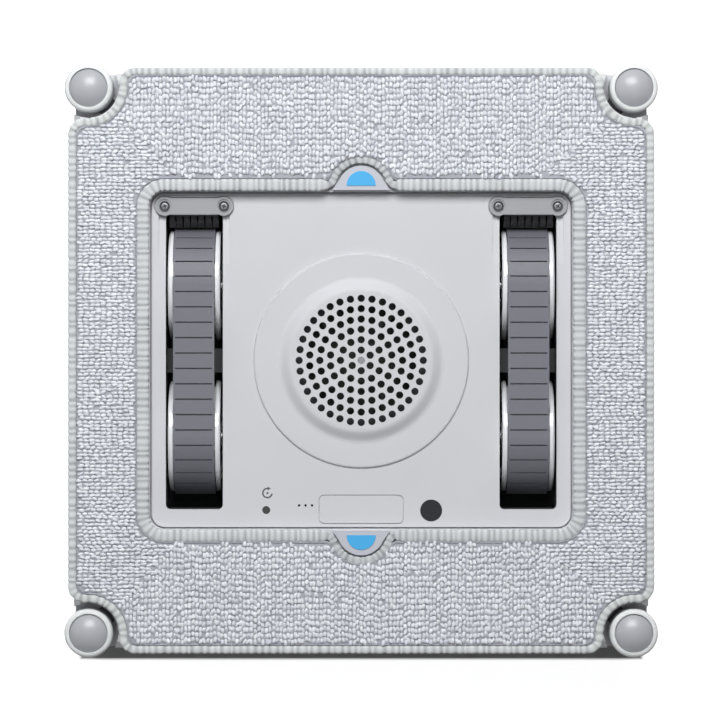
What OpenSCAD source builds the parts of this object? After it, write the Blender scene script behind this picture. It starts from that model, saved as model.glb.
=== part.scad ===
// Window cleaning robot, lying on its back with its glass side up.
// Millimetres. The origin is the middle of the flat back face, +Z points at the glass, +Y at the cord end.

/* [Housing] */
// Side of the square housing
body_side = 237; // [232:1:244]
// Height from the flat back face to the glass
body_depth = 56; // [55:1:60]
// Radius of the housing's four corners
body_corner_r = 14; // [12:1:16]
// Wall of the back shell and the base housing
shell_wall = 2.2; // [1.8:0.2:2.6]
// Height of the back shell, up to the joint line
cover_h = 22; // [21:1:25]
// Rounding round the back shell's lower edge
cover_round_r = 9; // [6:1:10]
// Slope round the base housing's glass-side edge
edge_slope = 3; // [2:0.5:4]

/* [Cleaning pad] */
// How far the pad reaches past the housing
pad_overhang = 1.4; // [0.6:0.2:2]
// Thickness of the pad
pad_t = 3.2; // [3:0.2:4]
// Thickness of the hook strips under the pad
hook_t = 0.8; // [0.6:0.2:1.2]
// Width of the stitched binding round the outside
bind_out_w = 3; // [2.4:0.2:3.6]
// Width of the stitched binding round the window
bind_in_w = 5.2; // [4.4:0.2:5.6]
// Radius of the pad's shoulders beside each roller
pad_shoulder_r = 5; // [4:0.5:7]

/* [Centre plate] */
// Width of the centre plate
plate_w = 172.4; // [170:0.4:174]
// Length of the centre plate
plate_l = 137.2; // [136.8:0.4:138]
// Thickness of the centre plate
plate_t = 2.4; // [2:0.2:2.8]
// Depth of the plate's face below the pad's seat
plate_drop = 2.5; // [2:0.5:3]
// Radius of the plate's corners
plate_corner_r = 5.5; // [4:0.5:7]

/* [Tracks] */
// Distance of each track from the middle
track_x = 68.7; // [68:0.1:69.2]
// Distance between a track's two axles
track_span = 62.8; // [61:0.2:63]
// Outer radius of the belt where it bends
track_r = 24.2; // [23.4:0.2:24.2]
// Width of the belt
belt_w = 16.8; // [15.6:0.2:17]
// Thickness of the belt, tread included
belt_t = 3; // [2.6:0.2:3.4]
// Number of tread blocks round the belt
belt_blocks = 44; // [40:1:48]
// Thickness of each wheel flange
flange_t = 1.9; // [1.5:0.1:2.1]
// Radius of each wheel flange
flange_r = 23; // [22.4:0.2:23]
// Radius of the axles
axle_r = 2; // [1.8:0.1:2.4]

/* [Gears] */
// Size of the gear teeth
gear_module = 0.8; // [0.7:0.05:0.85]
// Teeth of the large gears
large_teeth = 30; // [28:1:31]
// Teeth of the small gears
small_teeth = 10; // [10:1:12]
// Face width of the gears
gear_w = 3; // [2:0.25:3.25]

/* [Fan] */
// Radius of the raised disc round the grille
disc_r = 44.4; // [43:0.2:45]
// Radius of the perforated face
grille_r = 28.5; // [28:0.1:30]
// Height of the perforated face above the disc
grille_rise = 2.2; // [1.6:0.2:2.4]
// Radius of one grille hole
grille_hole_r = 1.5; // [1:0.1:1.7]
// Distance between two rings of holes
grille_pitch = 4.25; // [4:0.05:4.3]
// Rings of holes round the middle one
grille_rings = 6; // [4:1:6]
// Number of fan blades
fan_blades = 9; // [7:1:11]
// Outer radius of the fan
fan_r = 37; // [34:0.5:38]

/* [Corner rollers] */
// Radius of the roller
roller_r = 10; // [9:0.25:10.5]
// Distance from the housing's side to the roller's axle
roller_inset = 6.4; // [6:0.2:7]
// Travel of the sprung bumper
bumper_travel = 2; // [1:0.25:2.5]
// Radius of the domed cap
cap_r = 7.7; // [7:0.1:8]
// Height of the cap's dome
cap_dome_h = 2.9; // [2:0.1:3.1]

/* [Brush] */
// Distance between the brush bar's two screws
bar_screw_pitch = 24.3; // [23.8:0.1:24.8]
// Radius of the bar's round ends
bar_end_r = 3.9; // [3.6:0.1:4.2]
// Thickness of the brush bar
bar_t = 2.6; // [2.2:0.1:3]
// Tufts in one brush
tufts = 7; // [5:1:7]

/* [Back] */
// Width of the hand pocket
pocket_w = 92; // [84:2:92]
// Length of the hand pocket
pocket_l = 46; // [40:1:46]
// Depth of the hand pocket
pocket_d = 24; // [20:1:26]
// Width of the grip bar across the pocket
grip_w = 14; // [12:0.5:16]
// Radius of the start button
start_r = 8; // [6:0.5:9]
// Travel of the start button
start_travel = 0.8; // [0.4:0.1:1]
// Radius of the socket in the cord inlet
inlet_r = 5.5; // [4:0.25:6]

/* [Hidden] */
$fn = 64;
cut = 1;                      // how far every cut overruns the face it starts from
fit_gap = 0.05;               // running gap of a shaft in its hole
seat_gap = 0.03;              // gap of a shaft in a hole that holds it
free_gap = 0.3;               // gap between pieces that pass each other
joint_gap = 0.4;              // shadow gap along the housing's joint line

// Levels above the back face
glass_z = body_depth;
pad_z = glass_z - pad_t;              // underside of the pad
seat_z = pad_z - hook_t;              // face of the base housing under the pad
seat_under_z = seat_z - shell_wall;
plate_z = seat_z - plate_drop;        // glass-side face of the centre plate
plate_under_z = plate_z - plate_t;
axle_z = glass_z - track_r;
body_half = body_side / 2;

// Centre plate and the opening round it
plate_gap = 0.6;
opening_w = plate_w + 2 * plate_gap;
opening_l = plate_l + 2 * plate_gap;
ledge_w = 3;
ledge_t = 2.2;

// Track well, slot and side clearances
flange_gap = 0.35;
well_side_gap = 1.1;
well_wall = 1.2;
well_floor_gap = 1;
slot_end_gap = 5.7;
brush_end_gap = 4.6;
slot_corner_r = 2;
well_corner = 16;
bearing_r = 4;
bearing_l = 0.8;
slide_half = 5;
slide_h = 12;
slide_side = 0.8;
belt_run_gap = 0.25;
wheel_half = belt_w / 2 + flange_gap + flange_t;
slot_half = wheel_half + well_side_gap;
slot_low_y = -track_span / 2 - track_r - slot_end_gap;
slot_high_y = track_span / 2 + track_r + brush_end_gap;
brush_lip_w = 1.7;
brush_lip_gap = 0.2;
well_high_y = slot_high_y + brush_lip_w + 2 * brush_lip_gap;
well_floor_z = axle_z - track_r - well_floor_gap;
drum_r = track_r - belt_t - belt_run_gap;
wheel_rim_r = 0.6;
wheel_hub_r = 6;
wheel_rim_t = 3;
wheel_hollow = 6.5;
lightening_r = 3.6;
lightening_ring_r = 12;
lightening_holes = 6;
groove_w = 0.6;
groove_d = 1;
groove_margin = 0.8;

// Gear train, on the well's inner side
gear_gap = 0.75;
gear_plane_gap = 1;
gear_case_gap = 0.8;
gear_backlash = 0.3;
pressure_angle = 25;
addendum_share = 0.8;
dedendum_share = 1.05;
gear_span = gear_module * (large_teeth + small_teeth) / 2;
gear_tip_r = gear_module * (large_teeth / 2 + addendum_share);
train_y = [for (step = [0:2]) -track_span / 2 - step * gear_span];
well_inner_x = track_x - slot_half - well_wall;
plane_a_x = well_inner_x - gear_gap;
plane_b_x = plane_a_x - gear_w - gear_plane_gap;
gear_cover_x = plane_b_x - gear_w - gear_case_gap;
gear_cover_t = 1.6;
idler_pin_r = 1.5;
gear_hub_r = 2.9;
flank_steps = 4;
cover_post_r = 1.6;
post_share = 0.35;
motor_x = gear_cover_x - gear_cover_t;
motor_r = 9;
motor_flat = 7.6;
motor_l = 30;
motor_boss_r = 3;
motor_shaft_r = 1;
motor_shaft_depth = 10;
axle_end = 0.7;

// Brush
bar_y = 63.4;
bar_sink = 1.2;                       // depth of the recess that the bar lies in
bar_screw_l = 6.5;
bar_ring_w = 0.7;
bar_ring_d = 0.5;
bar_waist_w = 6.8;
bar_screw_r = 1;
bar_head_r = 2.2;
bar_head_t = 1.3;
bar_head_dome_r = 4;
bar_boss_r = 2.2;
bar_boss_l = 7;
bar_boss_gap = 0.4;
recess_margin = 0.4;
recess_half = 14.6;
recess_ramp_l = 20;
brush_strip_t = 0.9;
brush_lip_h = 4.2;
brush_half = 9.9;
tuft_rows = 4;
tuft_columns = 7;
tuft_w = 2.1;
tuft_h = 2.6;
tuft_tip_w = 2.5;
tuft_tip_h = 2.2;
bristle_r = 0.13;
bristle_root = 0.4;
bristle_l = 5;
bristle_drop = 4.6;

// Fan
disc_t = 1;
grille_spokes = 6;
disc_round_r = 0.9;
disc_round_steps = 4;
slope_w = 5.7;
slope_steps = 6;
grille_t = 1.8;
spigot_margin = 4.1;
spigot_r = grille_r + slope_w + spigot_margin;
spigot_wall = 2;
spigot_gap = 0.2;
duct_margin = 4.7;
duct_r = spigot_r + duct_margin;
duct_wall = 1.8;
duct_low_z = 8;
duct_seal_h = 1.9;
seal_w = 3.4;
inlet_eye_r = 24;
duct_top_z = plate_under_z - duct_seal_h;
fan_low_z = 24;
fan_head_gap = 8.7;
fan_blade_h = plate_under_z - fan_low_z - fan_head_gap;
fan_disc_t = 1.6;
fan_hub_r = 9;
fan_hub_h = 13;
fan_blade_t = 1.4;
fan_blade_arc_r = 26;
fan_eye_r = 15;
fan_rim_w = 0.6;
fan_shaft_r = 1.5;
fan_motor_r = 13;
fan_motor_low_z = 4.2;
spider_z = 14;
spider_t = 2;
spider_r = 15;
spider_arms = 6;
spider_arm_w = 4;
spider_hole_r = 5;

// Corner bumpers
roller_c = body_half - roller_inset;
roller_wall_gap = 0.3;
pocket_r = roller_r + bumper_travel + roller_wall_gap;
pocket_wall = 2;
pad_notch_gap = 1.5;
notch_r = pocket_r + pad_notch_gap;
pocket_notch_r = 0.8;
shelf_drop = 14;
shelf_z = seat_z - shelf_drop;
shelf_t = 2;
arm_t = 3;
arm_w = 8;
arm_disc_r = 6.5;
arm_z = shelf_z + free_gap;
post_r = 4;
cap_stem_r = 1.8;
cap_stem_l = 5;
roller_low_z = arm_z + arm_t + joint_gap;
roller_rise = 1;
roller_top_z = seat_z + roller_rise;
roller_round_r = 1.6;
roller_round_steps = 4;
roller_rim_t = 2;
roller_hub_t = 1.6;
roller_web_t = 2.4;
cap_gap = 0.25;
cap_seat_d = 2;
roller_seat_r = cap_r + cap_gap;
roller_seat_z = roller_top_z - cap_seat_d;
cap_low_z = roller_seat_z + joint_gap;
cap_side_h = 0.8;
post_top_z = cap_low_z;
head_w = 12;
head_t = 4;
head_lip = 1.5;
head_u = pocket_r + pocket_wall + free_gap;
spring_r = 2.6;
spring_wall = 0.8;
spring_l = 7;
spring_gap = 0.05;
spring_u = head_u + head_t;
stop_u = spring_u + spring_l;
stop_t = 2;
stop_w = 15;
stop_drop = 14;
plunger_t = 0.6;
plunger_w = 1.6;
plunger_h = 3.2;
plunger_gap = 0.1;
switch_l = spring_l - bumper_travel - plunger_t - plunger_gap;
switch_w = 4.4;
switch_h = 6.4;

// Cleaning pad and its hook strips
pad_half = body_half + pad_overhang;
pile_h = 0.9;
arc_steps = 10;
window_gap = 0.2;
window_w = opening_w + 2 * window_gap;
window_l = opening_l + 2 * window_gap;
window_r = plate_corner_r + plate_gap + window_gap;
hook_in_gap = 3;
hook_out_gap = 8;
hook_l = 55;

// Locator tabs beside the pad's window
tab_r = 9.8;
tab_foot_w = 11.7;
tab_foot_h = 3.6;
tab_t = 2.6;
tab_y = 70.2;
tab_gap = 0.7;
mark_r = 6;
mark_y = tab_y + 1.5;
mark_t = 0.3;

// Things in the plate's lower edge
label_w = 34.4;
label_l = 11.4;
label_y = -61.3;
label_r = 2;
label_t = 0.4;
label_sink = 0.3;
label_gap = 0.3;
label_groove_d = 0.7;
lens_x = 28.8;
lens_y = -61.8;
lens_r = 4.5;
lens_t = 1.2;
lens_sink = 0.15;
lens_stem_r = 3.2;
lens_stem_l = 1.8;
reset_x = -39.1;
reset_y = -61.6;
reset_r = 1.6;
reset_sink = 0.2;
reset_travel = 0.6;
reset_flange_r = 3;
reset_flange_t = 1;
reset_switch_w = 6.6;
reset_switch_h = 2.6;
reset_plunger_r = 1.3;
reset_leg_t = 1.6;
sound_x = -22.9;
sound_y = -59.7;
sound_pitch = 2.65;
sound_r = 0.5;
buzzer_r = 6;
buzzer_h = 4.6;

// Back shell
vent_in_r = 17;
vent_out_r = 38;
vent_w = 3.2;
vents = 20;
vent_ring_r = 27.5;
vent_ring_w = 1.8;
lip_t = 1.2;
lip_h = 2.4;
lip_root = 3;
lip_gap = 0.15;
lip_bite = 0.5;
hand_inset = 30.5;
hand_y = body_half - hand_inset;
hand_r = 9;
grip_t = 7;
grip_r = 2.4;
screw_inset = 14.5;
screw_side_inset = 46.5;
screw_end_inset = 52.5;
screw_places = [[body_half - screw_inset, body_half - screw_side_inset],
    [body_half - screw_end_inset, body_half - screw_inset]];
screw_boss_r = 4.4;
screw_r = 1.5;
screw_head_r = 2.8;
screw_head_t = 2.4;
screw_sink = 10;
screw_bite = 10;
start_inset = 26.5;
start_y = start_inset - body_half;
dish_r = 17;
dish_d = 1.2;
dish_t = 2.2;
dish_margin = 1.5;
start_flange_w = 1;
start_flange_t = 1;
start_hole_gap = 0.3;
start_dimple_r = 40;
dimple_d = 0.5;
ring_gap = 2.4;
ring_w = 2.2;
ring_t = 1.2;
tact_w = 6;
tact_h = 5;
tact_r = 1.75;
inlet_inset = 34.5;
inlet_x = body_half - inlet_inset;
inlet_z = 12.5;
inlet_wall = 2;
inlet_collar_t = 1.8;
inlet_depth = 12;
inlet_sink = 1.2;
inlet_end_t = 1.5;
inlet_step_r = 4.6;
inlet_step = 1.5;
inlet_pins = 5;
inlet_pin_r = 0.7;
inlet_pin_ring_r = 3;
inlet_pin_h = 1.2;

// Main board
board_w = 92;
board_l = 30;
board_t = 1.6;
board_z = 12;
board_inset = 24.5;
board_y = board_inset - body_half;
board_post_r = 3;
board_pin_r = 1.2;
board_pin_h = 0.8;
board_post_inset = 5;
chip_w = 12;
chip_h = 1.2;
plug_w = 8;
plug_l = 5;
plug_h = 5;
can_r = 3;
can_h = 8;

// Battery
cell_r = 7.2;
cell_wrap = 0.3;
battery_l = 52;
battery_inset = 19.1;
battery_x = battery_inset - body_half;
battery_z = 6;
battery_rib_t = 2;
battery_rib_y = 18;
cell_cap_t = 1;
battery_w = 4 * cell_r + 2 * cell_wrap;
battery_corner_r = cell_r + cell_wrap;

CORNERS = [[-1, 1], [1, 1], [-1, -1], [1, -1]];

// A flat outline with round corners
module round_outline(w, l, r) {
    square([w - 2 * r, l], center = true);
    square([w, l - 2 * r], center = true);
    for (x = [-1, 1], y = [-1, 1])
        translate([x * (w / 2 - r), y * (l / 2 - r)]) circle(r);
}

// Extrudes a (y, z) outline from x0 to x1
module along_x(x0, x1) {
    translate([x0, 0, 0]) rotate([90, 0, 90]) linear_extrude(x1 - x0) children();
}

// A block with round corners, whose edge section is the (radius, z) outline given; it reaches from 0 to r
module edged_block(w, r, z0, z1) {
    for (turn = [0:3])
        rotate([0, 0, 90 * turn]) translate([w / 2 - r, w / 2 - r, 0])
            rotate_extrude(angle = 90) children();
    for (turn = [0, 1])
        rotate([0, 0, 90 * turn]) rotate([90, 0, 0]) linear_extrude(w - 2 * r, center = true) {
            for (side = [0, 1]) mirror([side, 0]) translate([w / 2 - r, 0]) children();
            translate([r - w / 2, z0]) square([w - 2 * r, z1 - z0]);
        }
}

module on_side(side) {
    mirror([side < 0 ? 1 : 0, 0, 0]) children();
}

// Stands at a roller's axle, with +X pointing out of the corner
module at_corner(corner) {
    translate([corner[0] * roller_c, corner[1] * roller_c, 0])
        rotate([0, 0, atan2(corner[1], corner[0])]) children();
}

module at_screws() {
    for (place = screw_places, x = [-1, 1], y = [-1, 1])
        translate([x * place[0], y * place[1], 0]) children();
}

module at_bar_screws() {
    for (side = [-1, 1], end = [-1, 1])
        translate([side * (track_x + end * bar_screw_pitch / 2), bar_y, 0]) children();
}

// A bar that a gear train's piece stands in: an (y, z) outline on the right-hand track, from x0 to x1
module round_bar(y, z, r, x0, x1) {
    translate([x0, y, z]) rotate([0, 90, 0]) cylinder(r = r, h = x1 - x0);
}

// Outer block of the base housing
module base_block(side, r, low_z, top_z) {
    edged_block(side, r, low_z, top_z)
        polygon([[0, low_z], [r, low_z], [r, top_z - 2 * edge_slope], [r - edge_slope, top_z], [0, top_z]]);
}

// The bumper's guide, seen from the roller's axle: pocket wall, shelf and spring stop
module corner_solids() {
    for (corner = CORNERS)
        at_corner(corner) {
            translate([0, 0, shelf_z - shelf_t])
                cylinder(r = pocket_r + pocket_wall, h = seat_z - shelf_z + shelf_t);
            translate([-stop_u - stop_t, -stop_w / 2, seat_under_z - stop_drop])
                cube([stop_t, stop_w, stop_drop + shell_wall / 2]);
        }
}

module corner_cuts() {
    for (corner = CORNERS)
        at_corner(corner) {
            translate([0, 0, shelf_z]) cylinder(r = pocket_r, h = seat_z);
            for (turn = [-1, 1])
                rotate([0, 0, 180 + 45 * turn]) translate([pocket_r, 0, shelf_z])
                    cylinder(r = pocket_notch_r, h = seat_z);
            translate([-pocket_r - pocket_wall - cut, -arm_w / 2 - free_gap, shelf_z])
                cube([pocket_wall + 2 * cut, arm_w + 2 * free_gap, arm_t + 2 * free_gap]);
        }
}

module base_housing() {
    ledge_low_z = plate_under_z - ledge_t;
    color([0.80, 0.81, 0.83]) difference() {
        union() {
            difference() {
                base_block(body_side, body_corner_r, cover_h, seat_z);
                translate([0, 0, -cut])
                    base_block(body_side - 2 * shell_wall, body_corner_r - shell_wall,
                        cover_h, seat_under_z + cut);
            }
            intersection() {
                base_block(body_side, body_corner_r, cover_h, seat_z);
                corner_solids();
            }
            translate([0, 0, ledge_low_z]) linear_extrude(seat_z - ledge_low_z)
                round_outline(opening_w + 2 * shell_wall, opening_l + 2 * shell_wall,
                    plate_corner_r + plate_gap + shell_wall);
            at_screws() translate([0, 0, cover_h]) cylinder(r = screw_boss_r, h = seat_under_z - cover_h + cut);
        }
        translate([0, 0, plate_under_z]) linear_extrude(seat_z)
            round_outline(opening_w, opening_l, plate_corner_r + plate_gap);
        translate([0, 0, ledge_low_z - cut]) linear_extrude(seat_z)
            round_outline(opening_w - 2 * ledge_w, opening_l - 2 * ledge_w, plate_corner_r + plate_gap - ledge_w);
        corner_cuts();
        at_screws() translate([0, 0, cover_h - cut])
            cylinder(r = screw_r + fit_gap, h = screw_bite + 2 * cut);
    }
}

// Outline of the slot over a track
module slot_outline() {
    translate([track_x, (slot_low_y + slot_high_y) / 2])
        round_outline(2 * slot_half, slot_high_y - slot_low_y, slot_corner_r);
    translate([track_x - brush_half - brush_lip_gap, slot_high_y - slot_corner_r])
        square([2 * (brush_half + brush_lip_gap), well_high_y - slot_high_y + slot_corner_r]);
}

// The recess that the brush bar lies in, with a ramp up to the plate's face along the slot
module bar_recess() {
    deep_z = plate_z - bar_sink;
    translate([0, 0, deep_z]) linear_extrude(bar_sink + cut) bar_outline(recess_margin);
    along_x(track_x - recess_half, track_x + recess_half)
        polygon([[bar_y, deep_z], [bar_y - bar_end_r, deep_z], [bar_y - bar_end_r - recess_ramp_l, plate_z],
            [bar_y - bar_end_r - recess_ramp_l, plate_z + cut], [bar_y, plate_z + cut]]);
}

module bar_outline(margin) {
    translate([track_x, bar_y]) {
        square([bar_screw_pitch, bar_waist_w + 2 * margin], center = true);
        for (end = [-1, 1]) translate([end * bar_screw_pitch / 2, 0]) circle(bar_end_r + margin);
    }
}

module center_plate() {
    color([0.80, 0.81, 0.82]) difference() {
        union() {
            translate([0, 0, plate_under_z]) linear_extrude(plate_t)
                round_outline(plate_w, plate_l, plate_corner_r);
            at_bar_screws() translate([0, 0, plate_under_z - bar_boss_l])
                cylinder(r = bar_boss_r, h = bar_boss_l + plate_t / 2);
        }
        for (side = [-1, 1])
            on_side(side) {
                translate([0, 0, plate_under_z - cut]) linear_extrude(plate_t + 2 * cut) slot_outline();
                bar_recess();
            }
        at_bar_screws() translate([0, 0, plate_z - bar_sink - bar_screw_l])
            cylinder(r = bar_screw_r + fit_gap, h = bar_screw_l + cut);
        translate([0, 0, plate_under_z - cut]) cylinder(r = spigot_r + spigot_gap, h = plate_t + 2 * cut);
        translate([0, label_y, plate_z - label_sink]) linear_extrude(label_sink + cut)
            round_outline(label_w, label_l, label_r);
        translate([0, label_y, plate_z - label_groove_d]) linear_extrude(label_groove_d + cut)
            difference() {
                round_outline(label_w + 2 * label_gap, label_l + 2 * label_gap, label_r + label_gap);
                round_outline(label_w, label_l, label_r);
            }
        translate([lens_x, lens_y, plate_z - lens_t - lens_sink])
            cylinder(r = lens_r + seat_gap, h = lens_t + lens_sink + cut);
        translate([lens_x, lens_y, plate_under_z - cut])
            cylinder(r = lens_stem_r + seat_gap, h = plate_t + cut);
        translate([reset_x, reset_y, plate_under_z - cut])
            cylinder(r = reset_r + fit_gap, h = plate_t + 2 * cut);
        for (hole = [-1:1])
            translate([sound_x + hole * sound_pitch, sound_y, plate_under_z - cut])
                cylinder(r = sound_r, h = plate_t + 2 * cut);
    }
}

// Edge section of the back shell, with a rounded lower edge
module cover_section(r, round_r, low_z, top_z) {
    intersection() {
        translate([0, low_z]) square([r, top_z - low_z]);
        union() {
            translate([0, low_z]) square([r - round_r, top_z - low_z]);
            translate([r - round_r, low_z + round_r]) circle(round_r);
            translate([0, low_z + round_r]) square([r, top_z - low_z]);
        }
    }
}

module cover_block(side, r, round_r, low_z, top_z) {
    edged_block(side, r, low_z, top_z) cover_section(r, round_r, low_z, top_z);
}

module ring(out_r, in_r, low_z, top_z) {
    translate([0, 0, low_z]) difference() {
        cylinder(r = out_r, h = top_z - low_z);
        translate([0, 0, -cut]) cylinder(r = in_r, h = top_z - low_z + 2 * cut);
    }
}

// The lip that the base housing's wall fits over
module cover_lip(rim_z) {
    lip_side = body_side - 2 * (shell_wall + lip_gap);
    root_side = body_side - 2 * (shell_wall - lip_bite);
    lip_corner = body_corner_r - shell_wall - lip_gap;
    difference() {
        union() {
            translate([0, 0, rim_z - lip_root]) linear_extrude(lip_root + lip_h)
                round_outline(lip_side, lip_side, lip_corner);
            translate([0, 0, rim_z - lip_root]) linear_extrude(lip_root)
                round_outline(root_side, root_side, body_corner_r - shell_wall + lip_bite);
        }
        translate([0, 0, rim_z - lip_root - cut]) linear_extrude(lip_root + lip_h + 2 * cut)
            round_outline(lip_side - 2 * lip_t, lip_side - 2 * lip_t, lip_corner - lip_t);
    }
}

// The socket's collar in the back shell's cord end
module inlet_round(r, y0, y1) {
    translate([inlet_x, y1, inlet_z]) rotate([90, 0, 0]) cylinder(r = r, h = y1 - y0);
}

module vents_cut() {
    for (vent = [0:vents - 1])
        rotate([0, 0, 360 * vent / vents]) translate([vent_in_r, -vent_w / 2, -cut])
            cube([vent_out_r - vent_in_r, vent_w, shell_wall + 2 * cut]);
}

module top_cover() {
    rim_z = cover_h - joint_gap;
    inlet_out_r = inlet_r + inlet_wall;
    inlet_face_y = body_half - inlet_sink;
    inlet_end_y = inlet_face_y - inlet_depth - inlet_step - inlet_end_t;
    dish_top_z = dish_d + dish_t;
    color([0.87, 0.88, 0.89]) difference() {
        union() {
            difference() {
                cover_block(body_side, body_corner_r, cover_round_r, 0, rim_z);
                cover_block(body_side - 2 * shell_wall, body_corner_r - shell_wall, cover_round_r - shell_wall,
                    shell_wall, rim_z + cut);
            }
            cover_lip(rim_z);
            translate([0, hand_y, 0]) linear_extrude(pocket_d + shell_wall)
                round_outline(pocket_w + 2 * shell_wall, pocket_l + 2 * shell_wall, hand_r + shell_wall);
            ring(duct_r, duct_r - duct_wall, shell_wall / 2, duct_low_z);
            at_screws() cylinder(r = screw_boss_r, h = cover_h);
            translate([0, start_y, 0]) cylinder(r = dish_r + dish_margin, h = dish_top_z);
            for (x = [-1, 1], y = [-1, 1])
                translate([x * (board_w / 2 - board_post_inset), board_y + y * (board_l / 2 - board_post_inset), 0]) {
                    cylinder(r = board_post_r, h = board_z);
                    cylinder(r = board_pin_r, h = board_z + board_t + board_pin_h);
                }
            for (y = [-1, 1])
                translate([battery_x - battery_w / 2, y * battery_rib_y - battery_rib_t / 2, shell_wall / 2])
                    cube([battery_w, battery_rib_t, battery_z - shell_wall / 2]);
            intersection() {
                inlet_round(inlet_out_r + inlet_collar_t, inlet_end_y, body_half);
                cover_block(body_side, body_corner_r, cover_round_r, 0, cover_h);
            }
        }
        translate([0, hand_y, -cut]) linear_extrude(pocket_d + cut) round_outline(pocket_w, pocket_l, hand_r);
        vents_cut();
        at_screws() {
            translate([0, 0, -cut]) cylinder(r = screw_head_r + free_gap, h = screw_sink + cut);
            translate([0, 0, -cut]) cylinder(r = screw_r + free_gap, h = cover_h + 2 * cut);
        }
        translate([0, start_y, -cut]) {
            cylinder(r = dish_r, h = dish_d + cut);
            cylinder(r = start_r + start_hole_gap, h = dish_top_z + 2 * cut);
        }
        translate([0, start_y, 0])
            ring(start_r + ring_gap + ring_w, start_r + ring_gap, dish_d - cut, dish_d + ring_t);
        inlet_round(inlet_out_r + seat_gap, inlet_end_y - cut, body_half + cut);
    }
    color([0.87, 0.88, 0.89]) {
        ring(vent_ring_r + vent_ring_w / 2, vent_ring_r - vent_ring_w / 2, 0, shell_wall);
        translate([-pocket_w / 2 - cut, hand_y - grip_w / 2, 0]) grip_bar();
    }
}

// The bar across the hand pocket, with its four long edges rounded
module grip_bar() {
    along_x(0, pocket_w + 2 * cut) translate([grip_w / 2, grip_t / 2]) round_outline(grip_w, grip_t, grip_r);
}

// Section of the perforated cover, from the middle out
module fan_cover_section() {
    disc_z = plate_z + disc_t;
    face_z = disc_z + grille_rise;
    slope_foot_r = grille_r + slope_w;
    spigot_low_z = plate_under_z - disc_t;
    polygon([[0, face_z],
        for (step = [0:slope_steps])
            [grille_r + slope_w * step / slope_steps,
                disc_z + grille_rise * (1 + cos(180 * step / slope_steps)) / 2],
        for (step = [0:disc_round_steps])
            let (a = 90 - 90 * step / disc_round_steps)
            [disc_r, disc_z] - disc_round_r * [1 - cos(a), 1 - sin(a)],
        [disc_r, plate_z], [spigot_r, plate_z], [spigot_r, spigot_low_z],
        [spigot_r - spigot_wall, spigot_low_z], [spigot_r - spigot_wall, plate_z - grille_t / 2],
        [slope_foot_r - disc_t, plate_z - grille_t / 2], [grille_r - disc_t, face_z - grille_t],
        [0, face_z - grille_t]]);
}

module fan_cover() {
    color([0.84, 0.85, 0.86]) difference() {
        rotate_extrude() fan_cover_section();
        translate([0, 0, plate_z - cut]) {
            cylinder(r = grille_hole_r, h = body_depth);
            for (ring_no = [1:grille_rings])
                for (hole = [1:grille_spokes * ring_no])
                    rotate([0, 0, 90 + 360 / grille_spokes * hole / ring_no])
                        translate([ring_no * grille_pitch, 0, 0])
                            cylinder(r = grille_hole_r, h = body_depth);
        }
    }
}

module fan_housing() {
    in_r = duct_r - duct_wall;
    color([0.35, 0.36, 0.38]) difference() {
        union() {
            ring(duct_r, in_r, duct_low_z, duct_top_z);
            ring(in_r + duct_wall / 2, inlet_eye_r, duct_top_z - duct_wall, duct_top_z);
            translate([0, 0, spider_z]) cylinder(r = spider_r, h = spider_t);
            for (arm = [0:spider_arms - 1])
                rotate([0, 0, 360 * arm / spider_arms]) translate([0, -spider_arm_w / 2, spider_z])
                    cube([in_r + duct_wall / 2, spider_arm_w, spider_t]);
        }
        translate([0, 0, spider_z - cut]) cylinder(r = spider_hole_r, h = spider_t + 2 * cut);
    }
}

module fan_motor() {
    color([0.55, 0.56, 0.58]) difference() {
        union() {
            translate([0, 0, fan_motor_low_z]) cylinder(r = fan_motor_r, h = spider_z - fan_motor_low_z);
            translate([0, 0, spider_z - cut]) cylinder(r = spider_hole_r - seat_gap, h = spider_t + 2 * cut);
        }
        translate([0, 0, fan_motor_low_z + fan_disc_t])
            cylinder(r = fan_shaft_r + fit_gap, h = spider_z + spider_t);
    }
}

module fan_shaft() {
    low_z = fan_motor_low_z + fan_disc_t + free_gap;
    color([0.75, 0.76, 0.78]) translate([0, 0, low_z])
        cylinder(r = fan_shaft_r, h = fan_low_z + fan_hub_h - low_z);
}

// One backward-curved blade, from the eye to the rim
module fan_blade() {
    intersection() {
        difference() {
            circle(fan_r - fan_rim_w);
            circle(fan_eye_r);
        }
        translate([0, -fan_blade_arc_r]) difference() {
            circle(fan_blade_arc_r + fan_blade_t / 2);
            circle(fan_blade_arc_r - fan_blade_t / 2);
        }
        translate([0, -fan_r]) square([fan_r, 2 * fan_r]);
    }
}

module impeller() {
    color([0.30, 0.31, 0.33]) difference() {
        union() {
            translate([0, 0, fan_low_z]) cylinder(r = fan_r, h = fan_disc_t);
            translate([0, 0, fan_low_z]) cylinder(r = fan_hub_r, h = fan_hub_h);
            translate([0, 0, fan_low_z + fan_disc_t / 2]) linear_extrude(fan_blade_h)
                for (blade = [0:fan_blades - 1]) rotate(360 * blade / fan_blades) fan_blade();
        }
        translate([0, 0, fan_low_z - cut]) cylinder(r = fan_shaft_r + seat_gap, h = fan_hub_h + 2 * cut);
    }
}

module fan_seal() {
    color([0.12, 0.12, 0.13])
        ring(duct_r - spigot_gap, duct_r - spigot_gap - seal_w, duct_top_z, plate_under_z);
}

// Pieces on the glass side

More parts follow.
